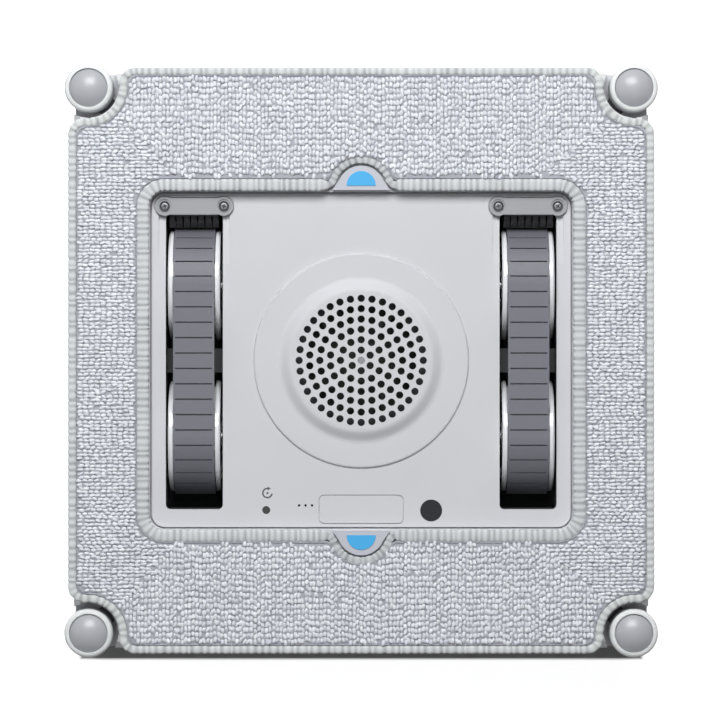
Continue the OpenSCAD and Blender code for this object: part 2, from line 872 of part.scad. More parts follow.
module hook_strips() {
    strip_w = (body_side - opening_l) / 2 - hook_in_gap - hook_out_gap;
    strip_side_w = (body_side - opening_w) / 2 - hook_in_gap - hook_out_gap;
    color([0.93, 0.93, 0.93]) translate([0, 0, seat_z]) linear_extrude(hook_t) {
        for (end = [-1, 1], half = [-1, 1])
            translate([half * (tab_foot_w + hook_in_gap + hook_l / 2),
                end * (opening_l / 2 + hook_in_gap + strip_w / 2)])
                square([hook_l, strip_w], center = true);
        for (side = [-1, 1])
            translate([side * (opening_w / 2 + hook_in_gap + strip_side_w / 2), 0])
                square([strip_side_w, 2 * hook_l], center = true);
    }
}

// Points round a centre, from one angle to another
function arc_points(middle, r, from, to) = [for (step = [0:arc_steps])
    middle + r * [cos(from + (to - from) * step / arc_steps), sin(from + (to - from) * step / arc_steps)]];

// One corner of the pad: a notch round the roller between two round shoulders
function pad_corner(edge, r) =
    let (shoulder_x = edge - pad_shoulder_r)
    let (shoulder_y = roller_c - sqrt(pow(r + pad_shoulder_r, 2) - pow(shoulder_x - roller_c, 2)))
    let (lean = atan2(roller_c - shoulder_y, roller_c - shoulder_x))
    concat(arc_points([shoulder_x, shoulder_y], pad_shoulder_r, 0, lean),
        arc_points([roller_c, roller_c], r, lean - 180, -lean - 90),
        arc_points([shoulder_y, shoulder_x], pad_shoulder_r, 90 - lean, 90));

// Outline of a piece of the pad that stays the given distance inside the pad's outer and inner edges
module pad_outline(inset, window_inset) {
    corner = pad_corner(pad_half - inset, notch_r + inset);
    difference() {
        polygon([for (turn = [0:3], point = corner)
            [point[0] * cos(90 * turn) - point[1] * sin(90 * turn),
                point[0] * sin(90 * turn) + point[1] * cos(90 * turn)]]);
        round_outline(window_w + 2 * window_inset, window_l + 2 * window_inset, window_r + window_inset);
        for (end = [0, 1]) mirror([0, end]) tab_outline(tab_gap + window_inset, 0);
    }
}

// A locator tab's outline, grown by a margin, with its foot at the given height
module tab_outline(margin, foot_y) {
    r = tab_r + margin;
    foot_w = tab_foot_w + margin;
    shoulder_a = asin(tab_foot_h / r);
    polygon(concat([[-foot_w, tab_y], [-foot_w, foot_y], [foot_w, foot_y], [foot_w, tab_y]],
        arc_points([0, tab_y], r, shoulder_a, 180 - shoulder_a)));
}

module cleaning_pad() {
    color([0.90, 0.91, 0.93]) {
        translate([0, 0, pad_z]) linear_extrude(pad_t - pile_h) pad_outline(0, 0);
        translate([0, 0, pad_z]) linear_extrude(pad_t) pad_outline(bind_out_w, bind_in_w);
    }
}

module pad_tabs() {
    color([0.84, 0.85, 0.87]) for (end = [0, 1])
        mirror([0, end, 0]) translate([0, 0, seat_z]) linear_extrude(tab_t)
            tab_outline(0, opening_l / 2 + tab_gap);
}

module tab_marks() {
    color([0.27, 0.70, 0.94]) for (end = [0, 1])
        mirror([0, end, 0]) translate([0, 0, seat_z + tab_t]) linear_extrude(mark_t) intersection() {
            translate([0, mark_y]) circle(mark_r);
            translate([-mark_r, mark_y]) square(2 * mark_r);
        }
}

module label_plate() {
    color([0.86, 0.87, 0.88]) translate([0, label_y, plate_z - label_sink]) linear_extrude(label_t)
        round_outline(label_w - 2 * seat_gap, label_l - 2 * seat_gap, label_r - seat_gap);
}

module sensor_window() {
    color([0.05, 0.05, 0.06]) translate([lens_x, lens_y, plate_z - lens_sink - lens_t]) {
        cylinder(r = lens_r, h = lens_t);
        translate([0, 0, -lens_stem_l]) cylinder(r = lens_stem_r, h = lens_stem_l + lens_t / 2);
    }
}

module reset_button() {
    color([0.10, 0.10, 0.11]) translate([reset_x, reset_y, plate_under_z]) {
        cylinder(r = reset_r, h = plate_t - reset_sink);
        translate([0, 0, -reset_flange_t]) cylinder(r = reset_flange_r, h = reset_flange_t);
    }
}

module buzzer() {
    color([0.10, 0.10, 0.11]) translate([sound_x, sound_y, 0])
        ring(buzzer_r, sound_pitch + 2 * sound_r, plate_under_z - buzzer_h, plate_under_z);
    color([0.10, 0.10, 0.11]) translate([sound_x, sound_y, plate_under_z - buzzer_h])
        cylinder(r = buzzer_r, h = buzzer_h / 2);
}

// Brushes

module brush_bars() {
    low_z = plate_z - bar_sink;
    lip_y = slot_high_y + brush_lip_gap;
    color([0.72, 0.73, 0.74]) for (side = [-1, 1])
        on_side(side) difference() {
            union() {
                translate([0, 0, low_z]) linear_extrude(bar_t) bar_outline(0);
                translate([track_x - brush_half, lip_y, low_z - brush_lip_h])
                    cube([2 * brush_half, brush_lip_w, brush_lip_h + bar_t / 2]);
            }
            for (end = [-1, 1])
                translate([track_x + end * bar_screw_pitch / 2, bar_y, 0]) {
                    translate([0, 0, low_z - cut]) cylinder(r = bar_screw_r + free_gap, h = bar_t + 2 * cut);
                    translate([0, 0, low_z + bar_t - bar_head_t])
                        cylinder(r = bar_head_r + fit_gap, h = bar_head_t + cut);
                    ring(bar_head_r + bar_ring_w, 0, low_z + bar_t - bar_ring_d, low_z + bar_t + cut);
                }
        }
}

module brush_screws() {
    head_z = plate_z - bar_sink + bar_t - bar_head_t;
    shank_low_z = plate_z - bar_sink - bar_screw_l + free_gap;
    color([0.62, 0.63, 0.65]) at_bar_screws() {
        translate([0, 0, head_z]) intersection() {
            cylinder(r = bar_head_r, h = bar_head_t);
            translate([0, 0, bar_head_t - bar_head_dome_r]) sphere(bar_head_dome_r);
        }
        translate([0, 0, shank_low_z]) cylinder(r = bar_screw_r, h = head_z + bar_head_t / 2 - shank_low_z);
    }
}

// One bristle, leaning out of the backing towards the belt
function bristle_points(root, tip) = [for (end = [root, tip], side = [0:2])
    let (turn = side * 360 / 3) end + bristle_r * [cos(turn), 0, sin(turn)]];

module brush_tufts() {
    strip_y = slot_high_y + brush_lip_gap - brush_strip_t;
    top_z = plate_z - bar_sink;
    pitch = (2 * brush_half - tuft_w) / (tufts - 1);
    root_y = strip_y + bristle_root;
    color([0.13, 0.13, 0.15]) for (side = [-1, 1])
        on_side(side) {
            translate([track_x - brush_half, strip_y, top_z - brush_lip_h])
                cube([2 * brush_half, brush_strip_t, brush_lip_h]);
            for (tuft = [0:tufts - 1], row = [0:tuft_rows - 1], column = [0:tuft_columns - 1]) {
                across = column / (tuft_columns - 1) - 1 / 2;
                up = row / (tuft_rows - 1) - 1 / 2;
                middle_x = track_x - brush_half + tuft_w / 2 + tuft * pitch;
                middle_z = top_z - brush_lip_h / 2;
                root = [middle_x + across * (tuft_w - 2 * bristle_root), root_y, middle_z + up * tuft_h];
                tip = [middle_x + across * tuft_tip_w, root_y - bristle_l,
                    middle_z + up * tuft_tip_h - bristle_drop];
                polyhedron(bristle_points(root, tip),
                    [[0, 1, 2], [3, 5, 4], [0, 4, 1], [0, 3, 4], [1, 5, 2], [1, 4, 5], [2, 3, 0], [2, 5, 3]]);
            }
        }
}

// Tracks

// Side view of a track's loop, r from its axles
module loop_outline(r) {
    for (end = [-1, 1]) translate([end * track_span / 2, axle_z]) circle(r);
    translate([0, axle_z]) square([track_span, 2 * r], center = true);
}

// Where the belt's outside is, a distance along it: [y, z, angle]
function loop_place(s) =
    let (bend = PI * track_r)
    s < track_span ? [track_span / 2 - s, axle_z + track_r, 0]
    : s < track_span + bend ?
        let (a = (s - track_span) / bend * 180)
        [-track_span / 2 - track_r * sin(a), axle_z + track_r * cos(a), a]
    : s < 2 * track_span + bend ? [s - track_span - bend - track_span / 2, axle_z - track_r, 180]
    : let (a = (s - 2 * track_span - bend) / bend * 180)
        [track_span / 2 + track_r * sin(a), axle_z - track_r * cos(a), 180 + a];

module track_belt(side) {
    loop_l = 2 * track_span + 2 * PI * track_r;
    color([0.55, 0.56, 0.60]) on_side(side) difference() {
        along_x(track_x - belt_w / 2, track_x + belt_w / 2) difference() {
            loop_outline(track_r);
            loop_outline(track_r - belt_t);
        }
        for (block = [0:belt_blocks - 1]) {
            place = loop_place((block + 1 / 2) * loop_l / belt_blocks);
            translate([track_x, place[0], place[1]]) rotate([place[2], 0, 0])
                translate([-belt_w / 2 + groove_margin, -groove_w / 2, -groove_d])
                    cube([belt_w - 2 * groove_margin, groove_w, groove_d + cut]);
        }
    }
}

module track_belt_left() { track_belt(-1); }

module track_belt_right() { track_belt(1); }

// Outline of a track's well, seen from the side
module well_outline(wall, top_z) {
    low_y = slot_low_y - wall;
    high_y = well_high_y + wall;
    low_z = well_floor_z - wall;
    polygon([[low_y, top_z], [low_y, low_z + well_corner], [low_y + well_corner, low_z],
        [high_y - well_corner, low_z], [high_y, low_z + well_corner], [high_y, top_z]]);
}

module track_frame(side) {
    in_x = track_x - slot_half;
    out_x = track_x + slot_half;
    color([0.42, 0.43, 0.45]) on_side(side) difference() {
        union() {
            difference() {
                along_x(in_x - well_wall, out_x + well_wall) well_outline(well_wall, plate_under_z);
                along_x(in_x, out_x) well_outline(0, plate_under_z + cut);
            }
            // The slide under the belt's glass-side run, on a cross beam between the wheels
            translate([in_x - well_wall / 2, -slide_half, axle_z - slide_h / 2])
                cube([2 * slot_half + well_wall, 2 * slide_half, slide_h]);
            translate([track_x - belt_w / 2 + slide_side, -slide_half, axle_z])
                cube([belt_w - 2 * slide_side, 2 * slide_half, track_r - belt_t - belt_run_gap]);
            round_bar(train_y[1], axle_z, idler_pin_r, gear_cover_x - gear_cover_t, in_x - well_wall / 2);
            for (y = [-1, 1])
                round_bar(y * track_span / 2, axle_z, bearing_r, in_x - well_wall, in_x + bearing_l);
            for (y = [-1, 1])
                round_bar(y * track_span / 2, axle_z, bearing_r, out_x - bearing_l, out_x + well_wall);
        }
        for (y = [-1, 1])
            round_bar(y * track_span / 2, axle_z, axle_r + fit_gap, in_x - well_wall - cut, out_x + well_wall + cut);
        translate([in_x - well_wall - cut, slot_high_y - bar_boss_gap, plate_under_z - bar_boss_l - bar_boss_gap])
            cube([2 * slot_half + 2 * well_wall + 2 * cut, body_half, body_depth]);
    }
}

module track_frame_left() { track_frame(-1); }

module track_frame_right() { track_frame(1); }

// Section of a wheel about its axle: flanges, drum, and a hollow on each side of the web
module wheel_section() {
    half = wheel_half;
    drum_half = belt_w / 2 + flange_gap;
    polygon([[axle_r + seat_gap, -half], [wheel_hub_r, -half], [wheel_hub_r, -half + wheel_hollow],
        [drum_r - wheel_rim_t, -half + wheel_hollow], [drum_r - wheel_rim_t, -half],
        [flange_r - wheel_rim_r, -half], [flange_r, -half + wheel_rim_r], [flange_r, -drum_half],
        [drum_r, -drum_half], [drum_r, drum_half], [flange_r, drum_half], [flange_r, half - wheel_rim_r],
        [flange_r - wheel_rim_r, half], [drum_r - wheel_rim_t, half],
        [drum_r - wheel_rim_t, half - wheel_hollow], [wheel_hub_r, half - wheel_hollow], [wheel_hub_r, half],
        [axle_r + seat_gap, half]]);
}

module wheel(side, y) {
    color([0.90, 0.91, 0.93]) on_side(side) translate([track_x, y, axle_z]) rotate([0, 90, 0]) difference() {
        rotate_extrude() wheel_section();
        for (hole = [0:lightening_holes - 1])
            rotate([0, 0, 360 * hole / lightening_holes]) translate([lightening_ring_r, 0, -wheel_half])
                cylinder(r = lightening_r, h = 2 * wheel_half);
    }
}

module drive_wheel_left() { wheel(-1, -track_span / 2); }

module drive_wheel_right() { wheel(1, -track_span / 2); }

module idler_wheel_left() { wheel(-1, track_span / 2); }

module idler_wheel_right() { wheel(1, track_span / 2); }

module drive_axle(side) {
    color([0.72, 0.73, 0.75]) on_side(side)
        round_bar(-track_span / 2, axle_z, axle_r, gear_cover_x - gear_cover_t,
            track_x + slot_half + well_wall + axle_end);
}

module drive_axle_left() { drive_axle(-1); }

module drive_axle_right() { drive_axle(1); }

module idler_axles() {
    color([0.72, 0.73, 0.75]) for (side = [-1, 1])
        on_side(side) round_bar(track_span / 2, axle_z, axle_r, track_x - slot_half - well_wall - axle_end,
            track_x + slot_half + well_wall + axle_end);
}

// Gears

function involute(r, base_r) = let (t = sqrt(pow(r / base_r, 2) - 1)) t * 180 / PI - atan(t);

function tooth_half(r, teeth) =
    let (pitch_r = gear_module * teeth / 2)
    let (base_r = pitch_r * cos(pressure_angle))
    (PI * gear_module - gear_backlash) / (4 * pitch_r) * 180 / PI
        + involute(pitch_r, base_r) - involute(max(r, base_r), base_r);

// Outline of a gear with a tooth on the +X axis
function gear_points(teeth) =
    let (root_r = gear_module * (teeth / 2 - dedendum_share))
    let (tip_r = gear_module * (teeth / 2 + addendum_share))
    let (start_r = max(root_r, gear_module * teeth / 2 * cos(pressure_angle)))
    let (flank = [root_r, for (share = [0:1 / flank_steps:1]) start_r + share * (tip_r - start_r)])
    [for (tooth = [0:teeth - 1]) each concat(
        [for (r = flank) let (a = 360 * tooth / teeth - tooth_half(r, teeth)) r * [cos(a), sin(a)]],
        [for (i = [len(flank) - 1:-1:0])
            let (r = flank[i], a = 360 * tooth / teeth + tooth_half(r, teeth)) r * [cos(a), sin(a)]])];

// A gear on the right-hand train, in the plane that starts at x0; turn is where its tooth points
module gear(teeth, y, x0, turn) {
    translate([0, y, axle_z]) rotate([turn, 0, 0]) along_x(x0, x0 + gear_w) polygon(gear_points(teeth));
}

module axle_gear(side) {
    x0 = plane_a_x - gear_w;
    color([0.92, 0.92, 0.90]) on_side(side) difference() {
        union() {
            gear(large_teeth, train_y[0], x0, 180);
            round_bar(train_y[0], axle_z, gear_hub_r, x0 - gear_plane_gap / 2, x0 + gear_w);
        }
        round_bar(train_y[0], axle_z, axle_r + seat_gap, x0 - gear_w, x0 + 2 * gear_w);
    }
}

module axle_gear_left() { axle_gear(-1); }

module axle_gear_right() { axle_gear(1); }

module compound_gear(side) {
    x0 = plane_b_x - gear_w;
    color([0.92, 0.92, 0.90]) on_side(side) difference() {
        union() {
            gear(small_teeth, train_y[1], plane_a_x - gear_w, 180 / small_teeth);
            gear(large_teeth, train_y[1], x0, 180);
            round_bar(train_y[1], axle_z, gear_hub_r, x0, plane_a_x);
        }
        round_bar(train_y[1], axle_z, idler_pin_r + fit_gap, x0 - cut, plane_a_x + cut);
    }
}

module compound_gear_left() { compound_gear(-1); }

module compound_gear_right() { compound_gear(1); }

module motor_pinion(side) {
    color([0.80, 0.72, 0.45]) on_side(side) {
        gear(small_teeth, train_y[2], plane_b_x - gear_w, 180 / small_teeth);
        round_bar(train_y[2], axle_z, motor_shaft_r, motor_x - motor_shaft_depth + free_gap, plane_b_x);
    }
}

module motor_pinion_left() { motor_pinion(-1); }

module motor_pinion_right() { motor_pinion(1); }

module drive_motors() {
    color([0.60, 0.61, 0.63]) for (side = [-1, 1])
        on_side(side) difference() {
            union() {
                intersection() {
                    round_bar(train_y[2], axle_z, motor_r, motor_x - motor_l, motor_x);
                    translate([motor_x - motor_l, train_y[2] - motor_r, axle_z - motor_flat])
                        cube([motor_l, 2 * motor_r, 2 * motor_flat]);
                }
                round_bar(train_y[2], axle_z, motor_boss_r, motor_x - cut, motor_x + gear_cover_t);
            }
            round_bar(train_y[2], axle_z, motor_shaft_r + fit_gap, motor_x - motor_shaft_depth, body_half);
        }
}

// Where the gear cover's posts stand, clear of the gears: [y, z]
function post_places() = [
    [train_y[0] + gear_tip_r + cover_post_r + free_gap, axle_z],
    [train_y[0] - gear_span * post_share, axle_z - gear_tip_r - 2 * cover_post_r],
    [train_y[1] - gear_span / 2, axle_z - gear_tip_r - cover_post_r],
    [train_y[1] - gear_span * (1 - post_share), axle_z + gear_tip_r - cover_post_r / 2]
];

module gear_covers() {
    color([0.38, 0.39, 0.41]) for (side = [-1, 1])
        on_side(side) difference() {
            union() {
                along_x(gear_cover_x - gear_cover_t, gear_cover_x) {
                    polygon(post_places());
                    for (place = post_places()) translate(place) circle(cover_post_r + gear_cover_t / 2);
                    translate([train_y[2], axle_z]) circle(motor_r);
                }
                for (place = post_places())
                    round_bar(place[0], place[1], cover_post_r, gear_cover_x - gear_cover_t / 2, well_inner_x);
            }
            round_bar(train_y[0], axle_z, axle_r + fit_gap, 0, gear_cover_x + cut);
            round_bar(train_y[1], axle_z, idler_pin_r + seat_gap, 0, gear_cover_x + cut);
            round_bar(train_y[2], axle_z, motor_boss_r + seat_gap, 0, gear_cover_x + cut);
        }
}

// Corner bumpers and rollers

module bumper_arm(corner) {
    color([0.45, 0.46, 0.48]) at_corner(corner) difference() {
        union() {
            translate([0, 0, arm_z]) cylinder(r = arm_disc_r, h = arm_t);
            translate([0, 0, arm_z]) cylinder(r = post_r, h = post_top_z - arm_z);
            translate([-head_u - head_t / 2, -arm_w / 2, arm_z]) cube([head_u + head_t / 2, arm_w, arm_t]);
            translate([-head_u - head_t, -head_w / 2, arm_z - head_lip])
                cube([head_t, head_w, arm_t + 2 * head_lip]);
        }
        translate([0, 0, post_top_z - cap_stem_l - joint_gap])
            cylinder(r = cap_stem_r + seat_gap, h = cap_stem_l + joint_gap + cut);
    }
}

module bumper_arm_upper_left() { bumper_arm([-1, 1]); }

module bumper_arm_upper_right() { bumper_arm([1, 1]); }

module bumper_arm_lower_left() { bumper_arm([-1, -1]); }

module bumper_arm_lower_right() { bumper_arm([1, -1]); }

module corner_roller(corner) {
    rim_in_r = roller_seat_r;
    web_z = roller_seat_z - roller_web_t;
    bore_r = post_r + fit_gap;
    hub_r = bore_r + roller_hub_t;
    round_c = [roller_r - roller_round_r, roller_top_z - roller_round_r];
    color([0.82, 0.83, 0.84]) at_corner(corner) rotate_extrude() {
        polygon([[bore_r, roller_low_z], [hub_r, roller_low_z], [hub_r, web_z], [rim_in_r, web_z],
            [rim_in_r, roller_low_z], [roller_r - roller_rim_t / 4, roller_low_z],
            [roller_r, roller_low_z + roller_rim_t / 4],
            for (step = [0:roller_round_steps])
                let (a = 90 * step / roller_round_steps) round_c + roller_round_r * [cos(a), sin(a)],
            [rim_in_r, roller_top_z], [rim_in_r, roller_seat_z], [bore_r, roller_seat_z]]);
    }
}

module corner_roller_upper_left() { corner_roller([-1, 1]); }

module corner_roller_upper_right() { corner_roller([1, 1]); }

module corner_roller_lower_left() { corner_roller([-1, -1]); }

module corner_roller_lower_right() { corner_roller([1, -1]); }

module roller_cap(corner) {
    top_z = cap_low_z + cap_side_h + cap_dome_h;
    dome_r = (pow(cap_r, 2) + pow(cap_dome_h, 2)) / (2 * cap_dome_h);
    color([0.62, 0.63, 0.64]) at_corner(corner) {
        intersection() {
            translate([0, 0, cap_low_z]) cylinder(r = cap_r, h = cap_side_h + cap_dome_h + cut);
            translate([0, 0, top_z - dome_r]) sphere(dome_r);
        }
        translate([0, 0, cap_low_z - cap_stem_l]) cylinder(r = cap_stem_r, h = cap_stem_l + cap_side_h);
    }
}

module roller_cap_upper_left() { roller_cap([-1, 1]); }

module roller_cap_upper_right() { roller_cap([1, 1]); }

module roller_cap_lower_left() { roller_cap([-1, -1]); }

module roller_cap_lower_right() { roller_cap([1, -1]); }

module bumper_springs() {
    color([0.70, 0.71, 0.73]) for (corner = CORNERS)
        at_corner(corner) translate([-spring_u - spring_l + spring_gap, 0, arm_z + arm_t / 2])
            rotate([0, 90, 0])
            ring(spring_r, spring_r - spring_wall, 0, spring_l - 2 * spring_gap);
}

// Electrics

module micro_switches() {
    spring_side = spring_r + free_gap;
    color([0.10, 0.10, 0.11]) for (corner = CORNERS)
        at_corner(corner) {
            translate([-stop_u, spring_side, arm_z + arm_t / 2 - switch_h / 2])
                cube([switch_l, switch_w, switch_h]);
            translate([-stop_u, spring_side + free_gap, arm_z + arm_t / 2 - plunger_h / 2])
                cube([switch_l + plunger_t, plunger_w, plunger_h]);
        }
    // The reset switch hangs in a bracket under the centre plate, the start switch under the main board
    color([0.10, 0.10, 0.11]) translate([reset_x, reset_y, plate_under_z - reset_flange_t - reset_travel - fit_gap]) {
        translate([0, 0, -plunger_t]) cylinder(r = reset_plunger_r, h = plunger_t);
        translate([-reset_switch_w / 2, -reset_switch_w / 2, -plunger_t - reset_switch_h])
            cube([reset_switch_w, reset_switch_w, reset_switch_h]);
        for (side = [-1, 1])
            translate([side * (reset_switch_w / 2 + reset_leg_t / 2) - reset_leg_t / 2, -reset_switch_w / 2,
                -plunger_t - reset_switch_h])
                cube([reset_leg_t, reset_switch_w,
                    reset_switch_h + plunger_t + fit_gap + reset_travel + reset_flange_t]);
    }
    color([0.10, 0.10, 0.11]) translate([0, start_y, 0]) {
        translate([-tact_w / 2, -tact_w / 2, board_z - tact_h]) cube([tact_w, tact_w, tact_h]);
        translate([0, 0, dish_d + dish_t + start_flange_t + start_travel + plunger_gap])
            cylinder(r = tact_r, h = board_z - tact_h / 2 - dish_d - dish_t - start_flange_t - start_travel);
    }
}

module start_button() {
    face_z = dish_d - start_travel;
    flange_z = dish_d + dish_t;
    color([0.82, 0.83, 0.84]) translate([0, start_y, 0]) {
        difference() {
            translate([0, 0, face_z]) cylinder(r = start_r, h = flange_z + start_flange_t - face_z);
            translate([0, 0, face_z - start_dimple_r + dimple_d]) sphere(start_dimple_r);
        }
        translate([0, 0, flange_z]) cylinder(r = start_r + start_flange_w, h = start_flange_t);
    }
}

module light_ring() {
    color([0.85, 0.93, 1.0]) translate([0, start_y, 0])
        ring(start_r + ring_gap + ring_w, start_r + ring_gap, dish_d, dish_d + ring_t);
}

module main_board() {
    color([0.10, 0.35, 0.20]) translate([0, board_y, board_z]) difference() {
        translate([-board_w / 2, -board_l / 2, 0]) cube([board_w, board_l, board_t]);
        for (x = [-1, 1], y = [-1, 1])
            translate([x * (board_w / 2 - board_post_inset), y * (board_l / 2 - board_post_inset), -cut])
                cylinder(r = board_pin_r + fit_gap, h = board_t + 2 * cut);
    }
}

module board_parts() {
    top_z = board_z + board_t;
    color([0.12, 0.12, 0.13]) {
        translate([-chip_w / 2, board_y - chip_w / 2, top_z]) cube([chip_w, chip_w, chip_h]);
        for (x = [-1, 1])
            translate([x * board_w / 4 - plug_w / 2, board_y + board_l / 2 - 2 * plug_l, top_z])
                cube([plug_w, plug_l, plug_h]);
        for (x = [-1, 1], y = [-1, 1])
            translate([x * board_w / 4, board_y + y * board_l / 8 - board_l / 8, top_z])
                cylinder(r = can_r, h = can_h);
    }
}

module battery_pack() {
    middle_z = battery_z + battery_w / 2;
    color([0.16, 0.33, 0.55]) translate([battery_x, battery_l / 2, middle_z]) rotate([90, 0, 0]) {
        linear_extrude(battery_l) round_outline(battery_w, battery_w, battery_corner_r);
        for (x = [-1, 1], z = [-1, 1])
            translate([x * cell_r, z * cell_r, -cell_cap_t])
                cylinder(r = cell_r - cell_wrap, h = battery_l + 2 * cell_cap_t);
    }
}

module housing_screws() {
    color([0.55, 0.56, 0.58]) at_screws() {
        translate([0, 0, screw_sink - screw_head_t]) difference() {
            cylinder(r = screw_head_r, h = screw_head_t);
            translate([0, 0, -cut]) cylinder(r = screw_r, h = screw_head_t / 2 + cut, $fn = 6);
        }
        translate([0, 0, screw_sink - screw_head_t / 2])
            cylinder(r = screw_r, h = cover_h - screw_sink + screw_bite);
    }
}

module cord_inlet() {
    face_y = body_half - inlet_sink;
    step_y = face_y - inlet_depth;
    end_y = step_y - inlet_step - inlet_end_t;
    color([0.14, 0.14, 0.15]) {
        difference() {
            inlet_round(inlet_r + inlet_wall, end_y, face_y);
            inlet_round(inlet_r, step_y, face_y + cut);
            inlet_round(inlet_step_r, step_y - inlet_step, face_y);
        }
        for (pin = [0:inlet_pins - 1])
            translate(inlet_pin_ring_r * [cos(360 * pin / inlet_pins), 0, sin(360 * pin / inlet_pins)])
                inlet_round(inlet_pin_r, step_y - inlet_step - inlet_end_t / 2,
                    step_y - inlet_step + inlet_pin_h);
    }
}

base_housing();
center_plate();
top_cover();
fan_cover();
fan_housing();
fan_motor();
fan_seal();
hook_strips();
cleaning_pad();
pad_tabs();
tab_marks();
main_board();
board_parts();
battery_pack();
buzzer();
sensor_window();
label_plate();
housing_screws();
cord_inlet();
light_ring();
brush_bars();
brush_tufts();
brush_screws();
track_belt_left();
track_belt_right();
track_frame_left();
track_frame_right();
idler_axles();
gear_covers();
drive_motors();
micro_switches();
bumper_springs();
drive_wheel_left();
drive_wheel_right();
idler_wheel_left();
idler_wheel_right();
drive_axle_left();
drive_axle_right();
axle_gear_left();
axle_gear_right();
compound_gear_left();
compound_gear_right();
motor_pinion_left();
motor_pinion_right();
impeller();
fan_shaft();
start_button();
reset_button();
bumper_arm_upper_left();
bumper_arm_upper_right();
bumper_arm_lower_left();
bumper_arm_lower_right();
corner_roller_upper_left();
corner_roller_upper_right();
corner_roller_lower_left();
corner_roller_lower_right();
roller_cap_upper_left();
roller_cap_upper_right();
roller_cap_lower_left();
roller_cap_lower_right();
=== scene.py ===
# %% [markdown]
# A robot that cleans windows lies on its back, so that its cleaning side looks up at us.
# The hard parts come from a measured model, the frame, and stay exactly where they are.
# This lesson gives them their finishes, and makes the soft and small pieces that sit on them:
# the looped cleaning cloth with its bindings, the brushes, the screw heads, the springs of the
# corner bumpers and the reset sign.
# %% Load the measured frame
import math

import bmesh
import bpy
import numpy as np
from mathutils import Matrix, Vector
from mathutils.kdtree import KDTree


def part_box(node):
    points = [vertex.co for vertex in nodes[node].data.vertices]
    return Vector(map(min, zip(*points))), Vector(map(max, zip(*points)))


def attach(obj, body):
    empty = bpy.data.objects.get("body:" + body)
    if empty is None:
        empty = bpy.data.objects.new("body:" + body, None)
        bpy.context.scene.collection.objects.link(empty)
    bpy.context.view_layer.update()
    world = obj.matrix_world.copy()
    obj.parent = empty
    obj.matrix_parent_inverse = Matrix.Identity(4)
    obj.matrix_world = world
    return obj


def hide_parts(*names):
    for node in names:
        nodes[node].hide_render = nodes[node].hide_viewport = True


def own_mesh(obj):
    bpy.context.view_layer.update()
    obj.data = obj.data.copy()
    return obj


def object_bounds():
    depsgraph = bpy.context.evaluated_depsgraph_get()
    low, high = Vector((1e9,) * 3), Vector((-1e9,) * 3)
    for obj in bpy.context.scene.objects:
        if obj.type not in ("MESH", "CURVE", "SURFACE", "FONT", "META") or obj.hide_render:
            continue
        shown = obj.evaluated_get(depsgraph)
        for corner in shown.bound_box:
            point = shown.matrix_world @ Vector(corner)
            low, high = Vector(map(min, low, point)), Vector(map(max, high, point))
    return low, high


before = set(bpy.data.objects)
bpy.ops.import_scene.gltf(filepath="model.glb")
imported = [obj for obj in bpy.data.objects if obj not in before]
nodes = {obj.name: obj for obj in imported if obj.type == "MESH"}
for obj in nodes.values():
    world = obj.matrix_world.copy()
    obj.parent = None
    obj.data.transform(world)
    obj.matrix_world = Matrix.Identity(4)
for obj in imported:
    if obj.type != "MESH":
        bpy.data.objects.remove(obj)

cad_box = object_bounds()
MM = 0.001
rng = np.random.default_rng(7)
print("nodes", len(nodes), "size in mm", [round(v / MM, 1) for v in cad_box[1] - cad_box[0]])

# %% [markdown]
# Three moves come up again and again: to put something into the scene, to click on a piece, and
# to open it with all of it selected.
# %% Moves that come up again
def linked(name, data):
    """A new object in the scene, from a camera, a lamp, a curve or a mesh."""
    piece = bpy.data.objects.new(name, data)
    bpy.context.scene.collection.objects.link(piece)
    return piece


def pick(piece):
    """Select one piece alone and make it the active one."""
    bpy.ops.object.select_all(action="DESELECT")
    piece.select_set(True)
    bpy.context.view_layer.objects.active = piece


def edit_all():
    """Enter edit mode with the whole active piece selected."""
    bpy.ops.object.mode_set(mode="EDIT")
    bpy.ops.mesh.select_all(action="SELECT")


# %% [markdown]
# The photograph looks straight down at the cleaning side from about a metre and a half.
# A long lens at that height keeps the square outline square. The camera could be aimed with a
# target, but an unturned camera already looks along -Z with +Y up, which is just this view.
# %% Camera
camera_height = 1.5
picture_px = 720
pixel = 0.4099 * MM
middle_px = (361.2, 360.4)

camera_data = bpy.data.cameras.new("camera")
camera_data.sensor_width = 36.0
camera_data.lens = camera_data.sensor_width * camera_height / (picture_px * pixel)
camera = linked("camera", camera_data)
camera.location = (
    (picture_px / 2 - middle_px[0]) * pixel,
    (middle_px[1] - picture_px / 2) * pixel,
    cad_box[1].z + camera_height,
)
bpy.context.scene.camera = camera
print("lens", round(camera_data.lens, 1))

# %% [markdown]
# Light comes from a big soft box beyond the top of the picture, with weak ones overhead and on
# the left, so walls that face the bottom are nearly black. Together the lamps light a flat face
# at about one, so a colour renders about as it is written.
# %% Lamps
def soft_box(name, place, size, power):
    lamp_data = bpy.data.lights.new(name, "AREA")
    lamp_data.shape = "RECTANGLE"
    lamp_data.size, lamp_data.size_y = size
    lamp_data.energy = power
    lamp = linked(name, lamp_data)
    lamp.location = place
    lamp.rotation_mode = "QUATERNION"
    lamp.rotation_quaternion = (-Vector(place)).to_track_quat("-Z", "Y")
    print(name, round(Vector(place).length, 2), "m away")


soft_box("key_box", (-0.04, 0.72, 1.1), (0.8, 0.55), 17.5)
soft_box("top_box", (0.0, 0.1, 2.2), (2.0, 2.0), 3.5)
soft_box("left_box", (-1.3, 0.1, 0.9), (0.6, 0.8), 1.4)

# %% [markdown]
# The world is a faint even fill. Rays that go straight from the camera, off a glossy face or
# through glass to the world see plain white instead, as in a studio with white walls.
# %% World
fill_strength = 0.07


